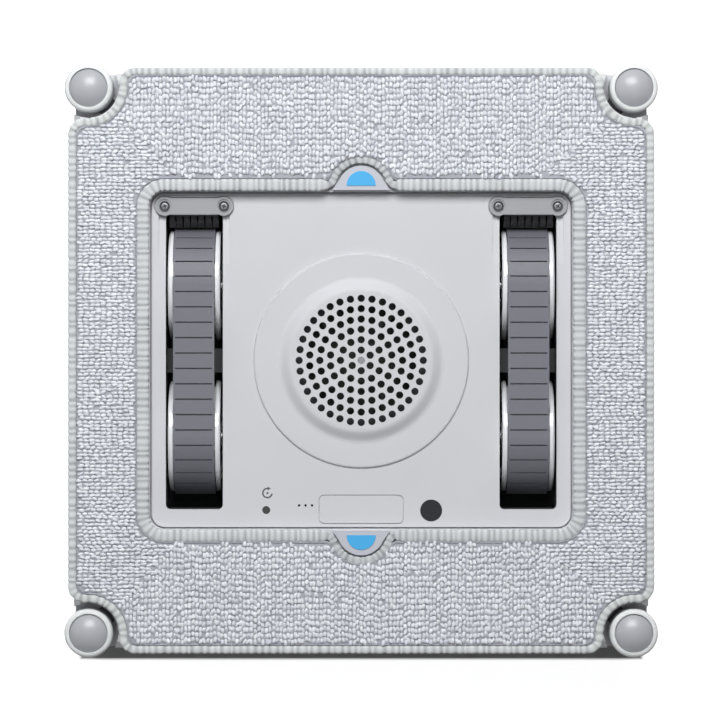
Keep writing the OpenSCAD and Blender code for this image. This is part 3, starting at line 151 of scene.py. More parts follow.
def math_node(tree, operation, first, second):
    """A Math node's output; each of its inputs is a number or another node's output."""
    node = tree.nodes.new("ShaderNodeMath")
    node.operation = operation
    for socket, value in zip(node.inputs, (first, second)):
        if isinstance(value, (int, float)):
            socket.default_value = value
        else:
            tree.links.new(value, socket)
    return node.outputs[0]


def range_node(tree, value, from_range=(0.0, 1.0), to_range=(0.0, 1.0)):
    """A Map Range node's output, which turns one range of numbers into another."""
    node = tree.nodes.new("ShaderNodeMapRange")
    node.inputs["From Min"].default_value, node.inputs["From Max"].default_value = from_range
    node.inputs["To Min"].default_value, node.inputs["To Max"].default_value = to_range
    tree.links.new(value, node.inputs["Value"])
    return node.outputs["Result"]


def own_place(tree):
    """Where a point lies in its piece's own coordinates."""
    return tree.nodes.new("ShaderNodeTexCoord").outputs["Object"]


world = bpy.data.worlds.new("studio")
bpy.context.scene.world = world
world.use_nodes = True
room = world.node_tree
ray = room.nodes.new("ShaderNodeLightPath").outputs
seen = math_node(room, "MAXIMUM", ray["Is Camera Ray"], ray["Is Glossy Ray"])
seen = math_node(room, "MAXIMUM", seen, ray["Is Transmission Ray"])
background = room.nodes["Background"]
background.inputs["Color"].default_value = (1.0, 1.0, 1.0, 1.0)
strength = range_node(room, seen, to_range=(fill_strength, 1.0))
room.links.new(strength, background.inputs["Strength"])

bpy.context.scene.view_settings.view_transform = "Standard"
print("world nodes", len(room.nodes))

# %% [markdown]
# The robot rests on a pale floor. Seen by the camera the floor adds light of its own, so it reads as
# white paper. Only a narrow strip along the robot's lower edge, away from the big lamp, keeps the
# true shadow, as a thin dark line. There the paper's colour is painted darker too, a painted shadow
# that deepens the line. A mask on the floor's own coordinates tells the strip from the open paper.
# %% Floor
floor_half = 3.0
floor_gap = 0.2 * MM
robot_half = 118.5 * MM
shadow_w = 7.9 * MM
shadow_edge, side_edge, middle_edge = 1.2 * MM, 2 * MM, 1 * MM
paper_glow = 0.85
# The strip's paper colour is a painted shadow: a grey far darker than the open paper.
painted_shadow_albedo, paper_white = 0.4, 0.9

bpy.ops.object.select_all(action="DESELECT")
bpy.ops.mesh.primitive_plane_add(size=2 * floor_half, location=(0, 0, -floor_gap))
floor = bpy.context.object
floor.name = "floor"
floor_paint = bpy.data.materials.new("floor_paper")
floor_paint.use_nodes = True
floor_tree = floor_paint.node_tree
paper = floor_tree.nodes["Principled BSDF"]
paper.inputs["Roughness"].default_value = 0.9
paper.inputs["Specular IOR Level"].default_value = 0.0
paper.inputs["Emission Color"].default_value = (1.0, 1.0, 1.0, 1.0)
floor_axes = floor_tree.nodes.new("ShaderNodeSeparateXYZ")
floor_tree.links.new(own_place(floor_tree), floor_axes.inputs["Vector"])
floor_ray = floor_tree.nodes.new("ShaderNodeLightPath").outputs


def floor_math(operation, first, second):
    return math_node(floor_tree, operation, first, second)


def beyond(distance, edge, soft):
    """1 where a distance is past an edge, 0 before it."""
    return range_node(floor_tree, distance, (edge, edge + soft))


sideways_far = floor_math("ABSOLUTE", floor_axes.outputs["X"], 0.0)
lower_far = floor_math("MULTIPLY", floor_axes.outputs["Y"], -1.0)
open_paper = floor_math("MAXIMUM", beyond(lower_far, robot_half + shadow_w, shadow_edge),
                        beyond(sideways_far, robot_half, side_edge))
open_paper = floor_math("MAXIMUM", open_paper, beyond(floor_axes.outputs["Y"], 0.0, middle_edge))
seen_paper = floor_math("MULTIPLY", open_paper, floor_ray["Is Camera Ray"])
glow = floor_math("MULTIPLY", seen_paper, paper_glow)
floor_tree.links.new(glow, paper.inputs["Emission Strength"])
# Painted shadow: the paper's colour falls to that grey along the strip.
white = range_node(floor_tree, open_paper, to_range=(painted_shadow_albedo, paper_white))
floor_tree.links.new(white, paper.inputs["Base Color"])
floor.data.materials.append(floor_paint)
print("floor nodes", len(floor_tree.nodes))

# %% [markdown]
# Moulded plastic is never quite even: the tool leaves a fine grain, and the colour and gloss
# drift a little over a wall. One shader group makes all three from noise on the piece's own
# coordinates, and every plastic places it with its own values.
# %% A group for moulded surfaces
cloud_scale, cloud_detail, grain_detail = 38.0, 3.0, 2.0
grain_gloss = 0.12
mid_grey = (0.8, 0.8, 0.8, 1.0)


def tone(red, green, blue):
    """A colour written as on screen, from 0 to 255, turned to the scene's linear light."""
    linear = [(v / 255 / 12.92 if v < 10.3 else ((v / 255 + 0.055) / 1.055) ** 2.4)
              for v in (red, green, blue)]
    return (*linear, 1.0)


def shader_group(name, inputs, outputs):
    """A node group with these sockets, given with their first values, and its two ends."""
    group = bpy.data.node_groups.new(name, "ShaderNodeTree")
    for direction, sockets in (("INPUT", inputs), ("OUTPUT", outputs)):
        for title, value in sockets.items():
            kind = "NodeSocketColor" if isinstance(value, tuple) else "NodeSocketFloat"
            socket = group.interface.new_socket(name=title, in_out=direction, socket_type=kind)
            socket.default_value = value
    return group, group.nodes.new("NodeGroupInput").outputs, group.nodes.new("NodeGroupOutput").inputs


def noise_node(tree, vector, scale, detail):
    """A Noise node's value, from 0 to 1; its scale is a number or another node's output."""
    node = tree.nodes.new("ShaderNodeTexNoise")
    node.inputs["Detail"].default_value = detail
    tree.links.new(vector, node.inputs["Vector"])
    if isinstance(scale, float):
        node.inputs["Scale"].default_value = scale
    else:
        tree.links.new(scale, node.inputs["Scale"])
    return node.outputs["Fac"]


moulded, given, made = shader_group(
    "moulded_surface",
    {"Colour": mid_grey, "Drift": 0.03, "Grain Scale": 2500.0, "Roughness": 0.45},
    {"Colour": mid_grey, "Roughness": 0.5, "Height": 0.0})
where = own_place(moulded)
clouds = noise_node(moulded, where, cloud_scale, cloud_detail)
grain = noise_node(moulded, where, given["Grain Scale"], grain_detail)
drift = math_node(moulded, "MULTIPLY", math_node(moulded, "SUBTRACT", clouds, 0.5), given["Drift"])
bright = math_node(moulded, "ADD", math_node(moulded, "MULTIPLY", drift, 2.0), 1.0)
tinted = moulded.nodes.new("ShaderNodeVectorMath")
tinted.operation = "SCALE"
moulded.links.new(given["Colour"], tinted.inputs[0])
moulded.links.new(bright, tinted.inputs["Scale"])
moulded.links.new(tinted.outputs["Vector"], made["Colour"])
grain_swing = math_node(moulded, "MULTIPLY", math_node(moulded, "SUBTRACT", grain, 0.5), grain_gloss)
rough_swing = math_node(moulded, "ADD", grain_swing, drift)
rough = math_node(moulded, "ADD", given["Roughness"], rough_swing)
moulded.links.new(rough, made["Roughness"])
moulded.links.new(grain, made["Height"])
print("group", moulded.name, "with", len(moulded.nodes), "nodes")

# %% [markdown]
# A finish is a Principled shader fed by a group. Gloss, coat and metal are one number each, so
# they are set on the shader's own sockets. The group's height bends the light through a Bump
# node. Plastic and cloth have different groups, but they are wired alike.
# %% Wire a finish
def finish_from(group, name, shader_values, group_values, depth):
    """A material with a group's colour, roughness and height, the height in millimetres."""
    material = bpy.data.materials.new(name)
    material.use_nodes = True
    tree = material.node_tree
    shader = tree.nodes["Principled BSDF"]
    surface = tree.nodes.new("ShaderNodeGroup")
    surface.node_tree = group
    for node, values in ((shader, shader_values), (surface, group_values)):
        for socket, value in values.items():
            node.inputs[socket].default_value = value
    bump = tree.nodes.new("ShaderNodeBump")
    bump.inputs["Distance"].default_value = depth * MM
    tree.links.new(surface.outputs["Height"], bump.inputs["Height"])
    tree.links.new(surface.outputs["Colour"], shader.inputs["Base Color"])
    if "Roughness" in surface.outputs:
        tree.links.new(surface.outputs["Roughness"], shader.inputs["Roughness"])
    tree.links.new(bump.outputs["Normal"], shader.inputs["Normal"])
    return material


print("groups", len(bpy.data.node_groups))

# %% [markdown]
# Each plastic gets its colour as it looks on screen, its roughness, and how fine and how deep
# its grain is. Housings are satin; the wheels and the back shell are polished.
# %% Moulded finishes
def moulded_finish(name, colour, roughness, grain_scale=2500.0, grain_depth=0.02, drift_share=0.03,
                   coat=0.0, metallic=0.0, specular=0.5):
    return finish_from(
        moulded, name,
        {"Specular IOR Level": specular, "Metallic": metallic, "Coat Weight": coat},
        {"Colour": tone(*colour), "Drift": drift_share, "Grain Scale": grain_scale,
         "Roughness": roughness},
        grain_depth)


def named_finishes(kind, table):
    """One finish for each row of a table; a row ends with its named values."""
    return {name: kind(name, *values[:-1], **values[-1]) for name, values in table.items()}


finishes = named_finishes(moulded_finish, {
    "shell_light": ((206, 208, 212), 0.42, {}),
    "plate_light": ((201, 202, 206), 0.55, {"grain_depth": 0.012}),
    "shell_white": ((226, 228, 231), 0.22, {"grain_depth": 0.006, "coat": 0.3}),
    "inner_dark": ((58, 60, 64), 0.55, {}),
    "seal_foam": ((34, 34, 36), 0.9, 1600.0, 0.12, 0.1, {}),
    "blue_mark": ((58, 170, 228), 0.35, {"grain_depth": 0.008, "coat": 0.2}),
    "circuit_board": ((28, 92, 56), 0.35, 900.0, 0.02, 0.12, {}),
    "inner_black": ((26, 26, 28), 0.5, {}),
    "battery_wrap": ((42, 86, 142), 0.25, {"grain_depth": 0.01, "coat": 0.4}),
    "dark_window": ((38, 39, 44), 0.2, {"grain_depth": 0.002, "specular": 0.2}),
    "tab_grey": ((188, 190, 199), 0.5, {"grain_depth": 0.01}),
    "label_blank": ((200, 202, 205), 0.5, {"grain_depth": 0.01}),
    "light_guide": ((214, 232, 250), 0.2, {"grain_depth": 0.01, "coat": 0.5}),
    # The bars' grey is their own colour, darkened further as a painted shade for the shadow the
    # cloth's edge casts on them.
    "bar_grey": ((152, 154, 158), 0.42, {"grain_depth": 0.012}),
    "wheel_gloss": ((226, 228, 232), 0.16, {"grain_depth": 0.003, "coat": 0.5}),
    "gear_white": ((226, 226, 220), 0.4, {}),
    "roller_light": ((223, 226, 227), 0.45, {}),
    "cap_grey": ((172, 174, 179), 0.32, {"grain_depth": 0.008}),
})
print("moulded finishes", len(finishes))

# %% [markdown]
# Turned and rolled metal carries fine lines. Noise squeezed along one axis draws them, and they
# change the roughness as well as the height, which stretches a highlight across the lines.
# %% Metals
line_noise, line_detail, line_gloss = 6.0, 2.0, 0.2
line_depth = 0.004
lines_across_x, lines_across_y = (900.0, 60.0, 60.0), (60.0, 900.0, 60.0)


def metal_finish(name, colour, roughness, line_scale=lines_across_x):
    material = moulded_finish(name, colour, roughness, grain_depth=line_depth, metallic=1.0)
    tree = material.node_tree
    squeeze = tree.nodes.new("ShaderNodeMapping")
    squeeze.inputs["Scale"].default_value = line_scale
    tree.links.new(own_place(tree), squeeze.inputs["Vector"])
    lines = noise_node(tree, squeeze.outputs["Vector"], line_noise, line_detail)
    spread = math_node(tree, "MULTIPLY", math_node(tree, "SUBTRACT", lines, 0.5), line_gloss)
    rough = math_node(tree, "ADD", spread, roughness)
    tree.links.new(rough, tree.nodes["Principled BSDF"].inputs["Roughness"])
    tree.links.new(lines, tree.nodes["Bump"].inputs["Height"])
    return material


metals = named_finishes(metal_finish, {
    "motor_steel": ((168, 170, 174), 0.34, lines_across_y, {}),
    "screw_steel": ((112, 113, 117), 0.42, {}),
    "axle_steel": ((190, 192, 196), 0.26, {}),
    "spring_steel": ((176, 178, 182), 0.3, {}),
    "pinion_brass": ((206, 178, 106), 0.3, {}),
})
finishes.update(metals)
print("metal finishes", len(metals))

# %% [markdown]
# The belts are soft grey rubber: no shine to speak of, a fine tooth and a colour that drifts a little
# over them. Hook tape is a dense field of tiny hooks, drawn here as cells that stand up.
# %% Rubber and hook tape
hook_scale, hook_depth = 900.0, 0.35


def hook_finish(name, colour, roughness):
    material = moulded_finish(name, colour, roughness, grain_depth=hook_depth)
    tree = material.node_tree
    cells = tree.nodes.new("ShaderNodeTexVoronoi")
    cells.inputs["Scale"].default_value = hook_scale
    tree.links.new(own_place(tree), cells.inputs["Vector"])
    raised = math_node(tree, "SUBTRACT", 1.0, cells.outputs["Distance"])
    tree.links.new(raised, tree.nodes["Bump"].inputs["Height"])
    return material


finishes["belt_rubber"] = moulded_finish("belt_rubber", (106, 107, 115), 0.55, 3200.0, 0.05, 0.07)
finishes["hook_tape"] = hook_finish("hook_tape", (236, 236, 236), 0.8)
print("finishes in all", len(finishes))

# %% [markdown]
# Each node of the frame arrives with a plain material that is named as in the record, so one
# loop can put the finish of that name in its place. Three nodes look a little unlike their
# slot: the locator tabs are a bluer grey, the cord's inlet is white and the impeller is black.
# %% Dress the frame
own_looks = {"pad_tabs": "tab_grey", "cord_inlet": "shell_white", "impeller": "inner_black"}


def dress(piece, material):
    """Give a piece this one material."""
    piece.data.materials.clear()
    piece.data.materials.append(material)


left_plain = []
for name, node in nodes.items():
    finish = own_looks.get(name, node.data.materials[0].name)
    if finish in finishes:
        dress(node, finishes[finish])
    else:
        left_plain.append(name)
print("left plain, replaced below:", left_plain)

# %% [markdown]
# The cleaning cloth is one square of looped microfibre with a window in it. Its edge runs round
# the four rollers in hollow curves, and its window goes round the blue-marked locator tabs.
# Both edges are straight lines and arcs, so a few functions give them at any inset.
# %% Edges of the cloth
pad_low, pad_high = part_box("cleaning_pad")
plate_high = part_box("center_plate")[1]
roller_low, roller_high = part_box("corner_roller_upper_right")
pad_half = pad_high.x
roller_middle = (roller_low.x + roller_high.x) / 2
notch_radius = 13.2 * MM
shoulder_radius = 5.0 * MM
window_gap = 0.8 * MM
window_half = plate_high.xy + Vector((window_gap, window_gap))
window_radius = 6.3 * MM
tab_middle_y = 70.2 * MM
tab_radius = 10.5 * MM
outer_binding_w = 3.4 * MM
binding_bulge = 0.45 * MM
inner_binding_w = 5.2 * MM
bay_share = 0.62
bay_fillet = 3.0 * MM
arc_steps, fillet_steps = 24, 9


def arc(middle, radius, start, end, steps=arc_steps):
    """Points along an arc, with its angles in radians."""
    turn = np.linspace(start, end, steps)
    return np.stack((middle[0] + radius * np.cos(turn), middle[1] + radius * np.sin(turn)), axis=1)


def turned(points, quarter):
    """Points turned by quarter turns about the middle of the robot."""
    cos, sin = round(math.cos(quarter * math.pi / 2)), round(math.sin(quarter * math.pi / 2))
    return points @ np.array(((cos, sin), (-sin, cos)))


def outer_edge(inset):
    """The cloth's outer edge, moved inwards by the inset."""
    edge, radius = pad_half - inset, notch_radius + inset
    shoulder_x = edge - shoulder_radius
    reach = radius + shoulder_radius
    shoulder_y = roller_middle - math.sqrt(reach**2 - (shoulder_x - roller_middle) ** 2)
    lean = math.atan2(roller_middle - shoulder_y, roller_middle - shoulder_x)
    corner = np.concatenate((
        arc((shoulder_x, shoulder_y), shoulder_radius, 0, lean),
        arc((roller_middle, roller_middle), radius, lean - math.pi, -lean - math.pi / 2)[1:-1],
        arc((shoulder_y, shoulder_x), shoulder_radius, math.pi / 2 - lean, math.pi / 2),
    ))
    return np.concatenate([turned(corner, quarter) for quarter in range(4)])


def inner_edge(outset):
    """The window's edge, moved into the cloth by the outset; a bay round each tab moves less."""
    half_x, half_y = window_half.x + outset, window_half.y + outset
    radius = window_radius + outset
    bay_radius = tab_radius + bay_share * outset
    fillet_y = half_y + bay_fillet - tab_middle_y
    fillet_x = math.sqrt((bay_fillet + bay_radius) ** 2 - fillet_y**2)
    lean = math.atan2(fillet_y, fillet_x)
    top = np.concatenate((
        arc((half_x - radius, half_y - radius), radius, 0, math.pi / 2),
        arc((fillet_x, half_y + bay_fillet), bay_fillet, -math.pi / 2, lean - math.pi, fillet_steps),
        arc((0, tab_middle_y), bay_radius, lean, math.pi - lean)[1:-1],
        arc((-fillet_x, half_y + bay_fillet), bay_fillet, -lean, -math.pi / 2, fillet_steps),
        arc((radius - half_x, half_y - radius), radius, math.pi / 2, math.pi),
    ))
    return np.concatenate((top, turned(top, 2)))


print("outer edge points", len(outer_edge(0)), "window edge points", len(inner_edge(0)))

# %% [markdown]
# Under the loops lies a thin woven ground, whose edges end under the bindings. It starts as two
# circles whose points are moved onto the edge lines; filling between them makes the sheet, and
# an extrusion gives it thickness.
# %% Ground of the cloth
ground_top = pad_high.z - 0.85 * MM
ground_low = pad_low.z + 0.02 * MM
under_outer, under_inner = 1.0 * MM, 0.6 * MM


def flat_sheet(name, lines, low, high):
    """A flat closed sheet inside the given edge lines; a line inside another is a hole."""
    bpy.ops.object.select_all(action="DESELECT")
    bpy.ops.mesh.primitive_circle_add(vertices=len(lines[0]), radius=1)
    piece = bpy.context.object
    piece.name = piece.data.name = name
    bpy.ops.object.mode_set(mode="EDIT")
    for line in lines[1:]:
        bpy.ops.mesh.primitive_circle_add(vertices=len(line), radius=0.5)
    mesh = bmesh.from_edit_mesh(piece.data)
    mesh.verts.ensure_lookup_table()
    for vertex, (x, y) in zip(mesh.verts, np.concatenate(lines)):
        vertex.co = (x, y, high)
    bmesh.update_edit_mesh(piece.data)
    bpy.ops.mesh.select_all(action="SELECT")
    bpy.ops.mesh.fill()
    bpy.ops.mesh.select_all(action="SELECT")
    bpy.ops.mesh.extrude_region_move(TRANSFORM_OT_translate={"value": (0, 0, low - high)})
    bpy.ops.mesh.select_all(action="SELECT")
    bpy.ops.mesh.normals_make_consistent(inside=False)
    bpy.ops.object.mode_set(mode="OBJECT")
    return piece


ground_lines = (outer_edge(outer_binding_w - under_outer), inner_edge(inner_binding_w - under_inner))
ground = flat_sheet("pad_ground", ground_lines, ground_low, ground_top)
print("ground faces", len(ground.data.polygons))

# %% [markdown]
# A binding is a folded strip sewn over the raw edge. Every few millimetres a stitch draws it in,
# so it reads as a row of soft ribs. The ribs are set out first, with uneven widths and depths,
# as hand-fed sewing leaves them.
# %% Ribs along a binding
rib_steps = (0.0, 0.07, 0.15, 0.25, 0.38, 0.5, 0.62, 0.75, 0.85, 0.93)
crease_share = 0.27
least_crease, most_crease = 0.55, 1.25
rib_plump = 0.035
bay_fade = 2.5 * MM


def along_line(line, stations):
    """Points at distances along a closed line."""
    closed = np.concatenate((line, line[:1]))
    steps = np.linalg.norm(np.diff(closed, axis=0), axis=1)
    run = np.concatenate(([0.0], np.cumsum(steps)))
    stations = stations % run[-1]
    return np.stack([np.interp(stations, run, closed[:, axis]) for axis in (0, 1)], axis=1)


def line_length(line):
    """The length of a closed line."""
    return np.linalg.norm(np.diff(np.concatenate((line, line[:1])), axis=0), axis=1).sum()


def sewn_stations(length, rib_pitch, crease, wander):
    """Distances along a binding, its thickness share and how folded it is at each."""
    ribs = round(length / rib_pitch)
    starts = (np.arange(ribs) + wander * rng.uniform(-0.5, 0.5, ribs)) / ribs * length
    ends = np.append(starts[1:], starts[0] + length)
    depth = crease * rng.uniform(least_crease, most_crease, ribs + 1)
    depth[-1] = depth[0]
    stations, shares, folds = [], [], []
    for rib in range(ribs):
        for step in rib_steps:
            near = math.exp(-((step / crease_share) ** 2)) * depth[rib]
            far = math.exp(-(((1 - step) / crease_share) ** 2)) * depth[rib + 1]
            plump = rib_plump * math.sin(math.pi * step)
            stations.append(starts[rib] + step * (ends[rib] - starts[rib]))
            shares.append(1 + plump - near - far)
            folds.append((near + far) / crease)
    return np.array(stations), np.array(shares), np.array(folds)


def near_tabs(places):
    """1 for places in the bay round a tab, fading to 0 along the straight edge."""
    reach = np.hypot(places[:, 0], np.abs(places[:, 1]) - tab_middle_y)
    return np.clip((tab_radius + bay_share * inner_binding_w - reach) / bay_fade + 1, 0, 1)


print("outer edge", round(line_length(outer_edge(0)) / MM), "mm long")

# %% [markdown]
# The strip could be bent out of a flat plane, but a sweep keeps its width even: a curve runs along
# the line, and a flat oval is its profile. The curve's own radius, smaller at each stitch, draws the
# ribs, which are tighter round a locator tab. Each point keeps how deep in a fold it lies, with more
# added round a tab, and that becomes a painted shade which darkens the folds and the gathers.
# %% Sweep a band
squareness = 3.2
pleat_depth, pleat_shade = 0.5, 0.35
weld_distance = 0.001 * MM


def oval_profile(name, width, height, steps):
    """A flat oval, which is the binding's cross section."""
    profile = bpy.data.curves.new(name, "CURVE")
    profile.dimensions = "2D"
    spline = profile.splines.new("POLY")
    spline.points.add(steps - 1)
    for point, turn in zip(spline.points, np.linspace(0, 2 * math.pi, steps, endpoint=False)):
        cos, sin = math.cos(turn), math.sin(turn)
        x = math.copysign(abs(cos) ** (2 / squareness), cos) * width / 2
        y = math.copysign(abs(sin) ** (2 / squareness), sin) * height / 2
        point.co = (x, y, 0, 1)
    spline.use_cyclic_u = True
    return linked(name, profile)


def swept_band(name, line, middle_z, width, height, rib_pitch, crease, wander, profile_steps=14):
    """A ribbed band round a closed line."""
    stations, shares, folds = sewn_stations(line_length(line), rib_pitch, crease, wander)
    places = along_line(line, stations)
    gathered = near_tabs(places)
    shares = shares * (1 - (1 - bay_share) * gathered) - pleat_depth * crease * folds * gathered
    # The folds, and more round a tab, become a painted shade on the points.
    folds = np.clip(folds, 0, 1) + pleat_shade * gathered
    path = bpy.data.curves.new(name, "CURVE")
    path.dimensions = "3D"
    path.twist_mode = "Z_UP"
    path.bevel_mode = "OBJECT"
    profile = oval_profile(name + "_profile", width, height, profile_steps)
    path.bevel_object = profile
    spline = path.splines.new("POLY")
    spline.points.add(len(places) - 1)
    for point, (x, y), share in zip(spline.points, places, shares):
        point.co = (x, y, middle_z, 1)
        point.radius = share
    spline.use_cyclic_u = True
    band = linked(name, path)
    pick(band)
    bpy.ops.object.convert(target="MESH")
    band.data.name = name
    bpy.data.objects.remove(profile)
    edit_all()
    bpy.ops.mesh.remove_doubles(threshold=weld_distance)
    bpy.ops.mesh.normals_make_consistent(inside=False)
    bpy.ops.object.mode_set(mode="OBJECT")
    bpy.ops.object.shade_smooth()
    nearest = KDTree(len(places))
    for index, (x, y) in enumerate(places):
        nearest.insert((x, y, middle_z), index)
    nearest.balance()
    # Painted shade: the folds and the gathers round a tab get a darker shade on their points.
    shade = band.data.attributes.new("shade", "FLOAT", "POINT")
    shade.data.foreach_set("value", [folds[nearest.find(v.co)[1]] for v in band.data.vertices])
    print(name, len(places), "stations", len(band.data.polygons), "faces")
    return band


# %% [markdown]
# The outer binding bulges a little past the pad's edge, and the one round the window is wider.
# Both stand proud of the ground, so that they frame the loops.
# %% Bindings of the cloth
outer_binding_h = 2.5 * MM
inner_binding_h = 2.7 * MM
binding_top = pad_high.z - 0.35 * MM
outer_binding = swept_band("pad_outer_binding", outer_edge(outer_binding_w / 2 - binding_bulge),
                           binding_top - outer_binding_h / 2, outer_binding_w, outer_binding_h,
                           rib_pitch=2.9 * MM, crease=0.12, wander=0.55)
inner_binding = swept_band("pad_inner_binding", inner_edge(inner_binding_w / 2),
                           binding_top - inner_binding_h / 2, inner_binding_w, inner_binding_h,
                           rib_pitch=2.6 * MM, crease=0.1, wander=0.4, profile_steps=16)

# %% [markdown]
# Between the binding and the loops runs the seam: a shallow groove with one line of thread, whose
# grey is partly a painted shade for the dark line along the groove.
# The thread is a thin band of the same kind, pinched at every stitch.
# %% Seam thread
thread_d = 0.42 * MM
stitches = {"rib_pitch": 1.7 * MM, "crease": 0.45, "wander": 0.2, "profile_steps": 6}
outer_seam = swept_band("pad_outer_seam", outer_edge(outer_binding_w - 0.25 * MM),
                        ground_top + 0.3 * MM, thread_d, thread_d, **stitches)
inner_seam = swept_band("pad_inner_seam", inner_edge(inner_binding_w + 0.15 * MM),
                        ground_top + 0.25 * MM, thread_d, thread_d, **stitches)

# %% [markdown]
# The pile is thousands of little yarn loops in rows. Each could be a bent tube, but only its
# rounded back shows, so one loop is modelled as a low dome of a few dozen faces.
# %% One loop
loop_w, loop_l, loop_h = 1.62 * MM, 2.75 * MM, 1.3 * MM

bpy.ops.object.select_all(action="DESELECT")
bpy.ops.mesh.primitive_uv_sphere_add(segments=8, ring_count=4, radius=0.5)
one_loop = bpy.context.object
edit_all()
bpy.ops.transform.resize(value=(loop_w, loop_l, loop_h))
bpy.ops.object.mode_set(mode="OBJECT")
print("one loop has", len(one_loop.data.polygons), "faces")

# %% [markdown]
# Thousands of separate objects would be slow, so the copies become one mesh, worked out all at
# once as arrays. Each copy has a shade of its own, kept on its points.
# %% Plant a shape many times
def planted(name, piece, frames, places, shades):
    """Copies of a piece, turned and scaled by 3 x 3 frames and moved to places, as one mesh."""
    points = np.array([v.co for v in piece.data.vertices])
    corners = np.concatenate([np.array(p.vertices) for p in piece.data.polygons])
    sizes = np.array([len(p.vertices) for p in piece.data.polygons])
    count = len(places)
    everywhere = np.einsum("nij,pj->npi", frames, points) + places[:, None, :]
    mesh = bpy.data.meshes.new(name)
    mesh.vertices.add(count * len(points))
    mesh.vertices.foreach_set("co", everywhere.astype(np.float32).ravel())
    all_corners = (corners[None, :] + (np.arange(count) * len(points))[:, None]).ravel()
    all_sizes = np.tile(sizes, count)
    mesh.loops.add(len(all_corners))
    mesh.loops.foreach_set("vertex_index", all_corners.astype(np.int32))
    mesh.polygons.add(len(all_sizes))
    starts = np.concatenate(([0], np.cumsum(all_sizes)[:-1]))
    mesh.polygons.foreach_set("loop_start", starts.astype(np.int32))
    mesh.polygons.foreach_set("use_smooth", np.ones(len(all_sizes), bool))
    mesh.update(calc_edges=True)
    shade = mesh.attributes.new("shade", "FLOAT", "POINT")
    shade.data.foreach_set("value", np.repeat(shades, len(points)).astype(np.float32))
    print(name, count, "copies", len(mesh.polygons), "faces")
    return linked(name, mesh)


# %% [markdown]
# On the top and bottom bands the loops lie up and down the picture, and on the side bands they
# lie across it, square to the nearest edge. Two lattices are laid over the whole cloth, cut
# along its diagonals with a wavy border, and kept where the pile is. A few loops are missing.
# %% Where the loops stand
loop_pitch_across, loop_pitch_along = 1.5 * MM, 2.35 * MM
loop_slip = 0.16
pile_clear_outer, pile_clear_inner = 0.45 * MM, 0.75 * MM
border_swing, border_wave = 1.2 * MM, 9 * MM
missing_share = 0.005


def inside_line(points, line):
    """Which points lie inside a closed line, by counting its crossings to the right."""
    ends = np.roll(line, -1, axis=0)
    inside = np.zeros(len(points), bool)
    for (x0, y0), (x1, y1) in zip(line, ends):
        if y0 == y1:
            continue
        spans = (y0 > points[:, 1]) != (y1 > points[:, 1])
        crossing = x0 + (points[:, 1] - y0) * (x1 - x0) / (y1 - y0)
        inside ^= spans & (points[:, 0] < crossing)
    return inside


def lattice():
    """Upright columns of places over the whole cloth, each slipped along itself by chance."""
    x = np.arange(-pad_half, pad_half, loop_pitch_across)
    y = np.arange(-pad_half, pad_half, loop_pitch_along)
    grid_x, grid_y = np.meshgrid(x, y)
    grid_y += rng.normal(0, loop_slip * loop_pitch_along, len(x))
    return np.stack((grid_x.ravel(), grid_y.ravel()), axis=1)


def in_top_or_bottom(points):
    """Which points lie above or below both wavy diagonals."""
    border = border_swing * np.sin(points[:, 0] / border_wave)
    return np.abs(points[:, 1]) >= np.abs(points[:, 0]) + border


def on_pile(points):
    """Which points lie between the two bindings."""
    return (inside_line(points, outer_edge(outer_binding_w + pile_clear_outer))
            & ~inside_line(points, inner_edge(inner_binding_w + pile_clear_inner)))


upright = lattice()
sideways = lattice()[:, ::-1]
upright = upright[in_top_or_bottom(upright)]
sideways = sideways[~in_top_or_bottom(sideways)]
upright, sideways = upright[on_pile(upright)], sideways[on_pile(sideways)]
loop_xy = np.concatenate((upright, sideways))
loop_turn = np.concatenate((np.zeros(len(upright)), np.full(len(sideways), math.pi / 2)))
kept = rng.random(len(loop_xy)) > missing_share
loop_xy, loop_turn = loop_xy[kept], loop_turn[kept]
print("loops", len(loop_xy))

# %% [markdown]
# No loop is quite like the next: each is turned, moved, leaned and sized a little by chance, and
# the pile swells and sinks in soft patches. Each loop's own frame holds its turn, size and lean.
# %% Plant the loops
turn_spread, lean_spread = 0.22, 0.2
move_spread, rise_spread = 0.14 * MM, 0.1 * MM
least_size, most_size = 0.84, 1.1
root_rise, patch_rise = 0.15 * MM, 0.06 * MM
patch_wide, patch_high, patch_shift = 11 * MM, 8.5 * MM, 1.3

count = len(loop_xy)
loop_turn = loop_turn + rng.normal(0, turn_spread, count)
loop_xy = loop_xy + rng.normal(0, move_spread, (count, 2))
lean = rng.normal(0, lean_spread, (count, 2))
size = rng.uniform(least_size, most_size, (count, 3))
cos, sin = np.cos(loop_turn), np.sin(loop_turn)
loop_frames = np.zeros((count, 3, 3))
loop_frames[:, 0, 0], loop_frames[:, 0, 1] = cos * size[:, 0], -sin * size[:, 1]
loop_frames[:, 1, 0], loop_frames[:, 1, 1] = sin * size[:, 0], cos * size[:, 1]
loop_frames[:, 2, 2] = size[:, 2]
loop_frames[:, 2, 0], loop_frames[:, 2, 1] = lean[:, 0], lean[:, 1]
patch = np.sin(loop_xy[:, 0] / patch_wide) * np.sin(loop_xy[:, 1] / patch_high + patch_shift)
loop_z = ground_top + root_rise + patch_rise * patch + rng.normal(0, rise_spread, count)
places = np.column_stack((loop_xy, loop_z))
pile = planted("pad_pile", one_loop, loop_frames, places, rng.random(count))
bpy.data.objects.remove(one_loop)

# %% [markdown]
# Yarn is matt, with a soft sheen. Each loop has its own shade, a fine fibre noise roughens it, and
# the folds of a binding are painted darker, as shade. One group mixes a light and a dark yarn by all
# of these, for loops, bands, ground and thread, and for the bristles too.
# %% A group for yarn
fibre_scale, blotch_scale, yarn_detail = 3800.0, 90.0, 2.0
shade_weight, fibre_weight, blotch_weight, light_bias = 0.55, 0.5, 0.35, 0.25

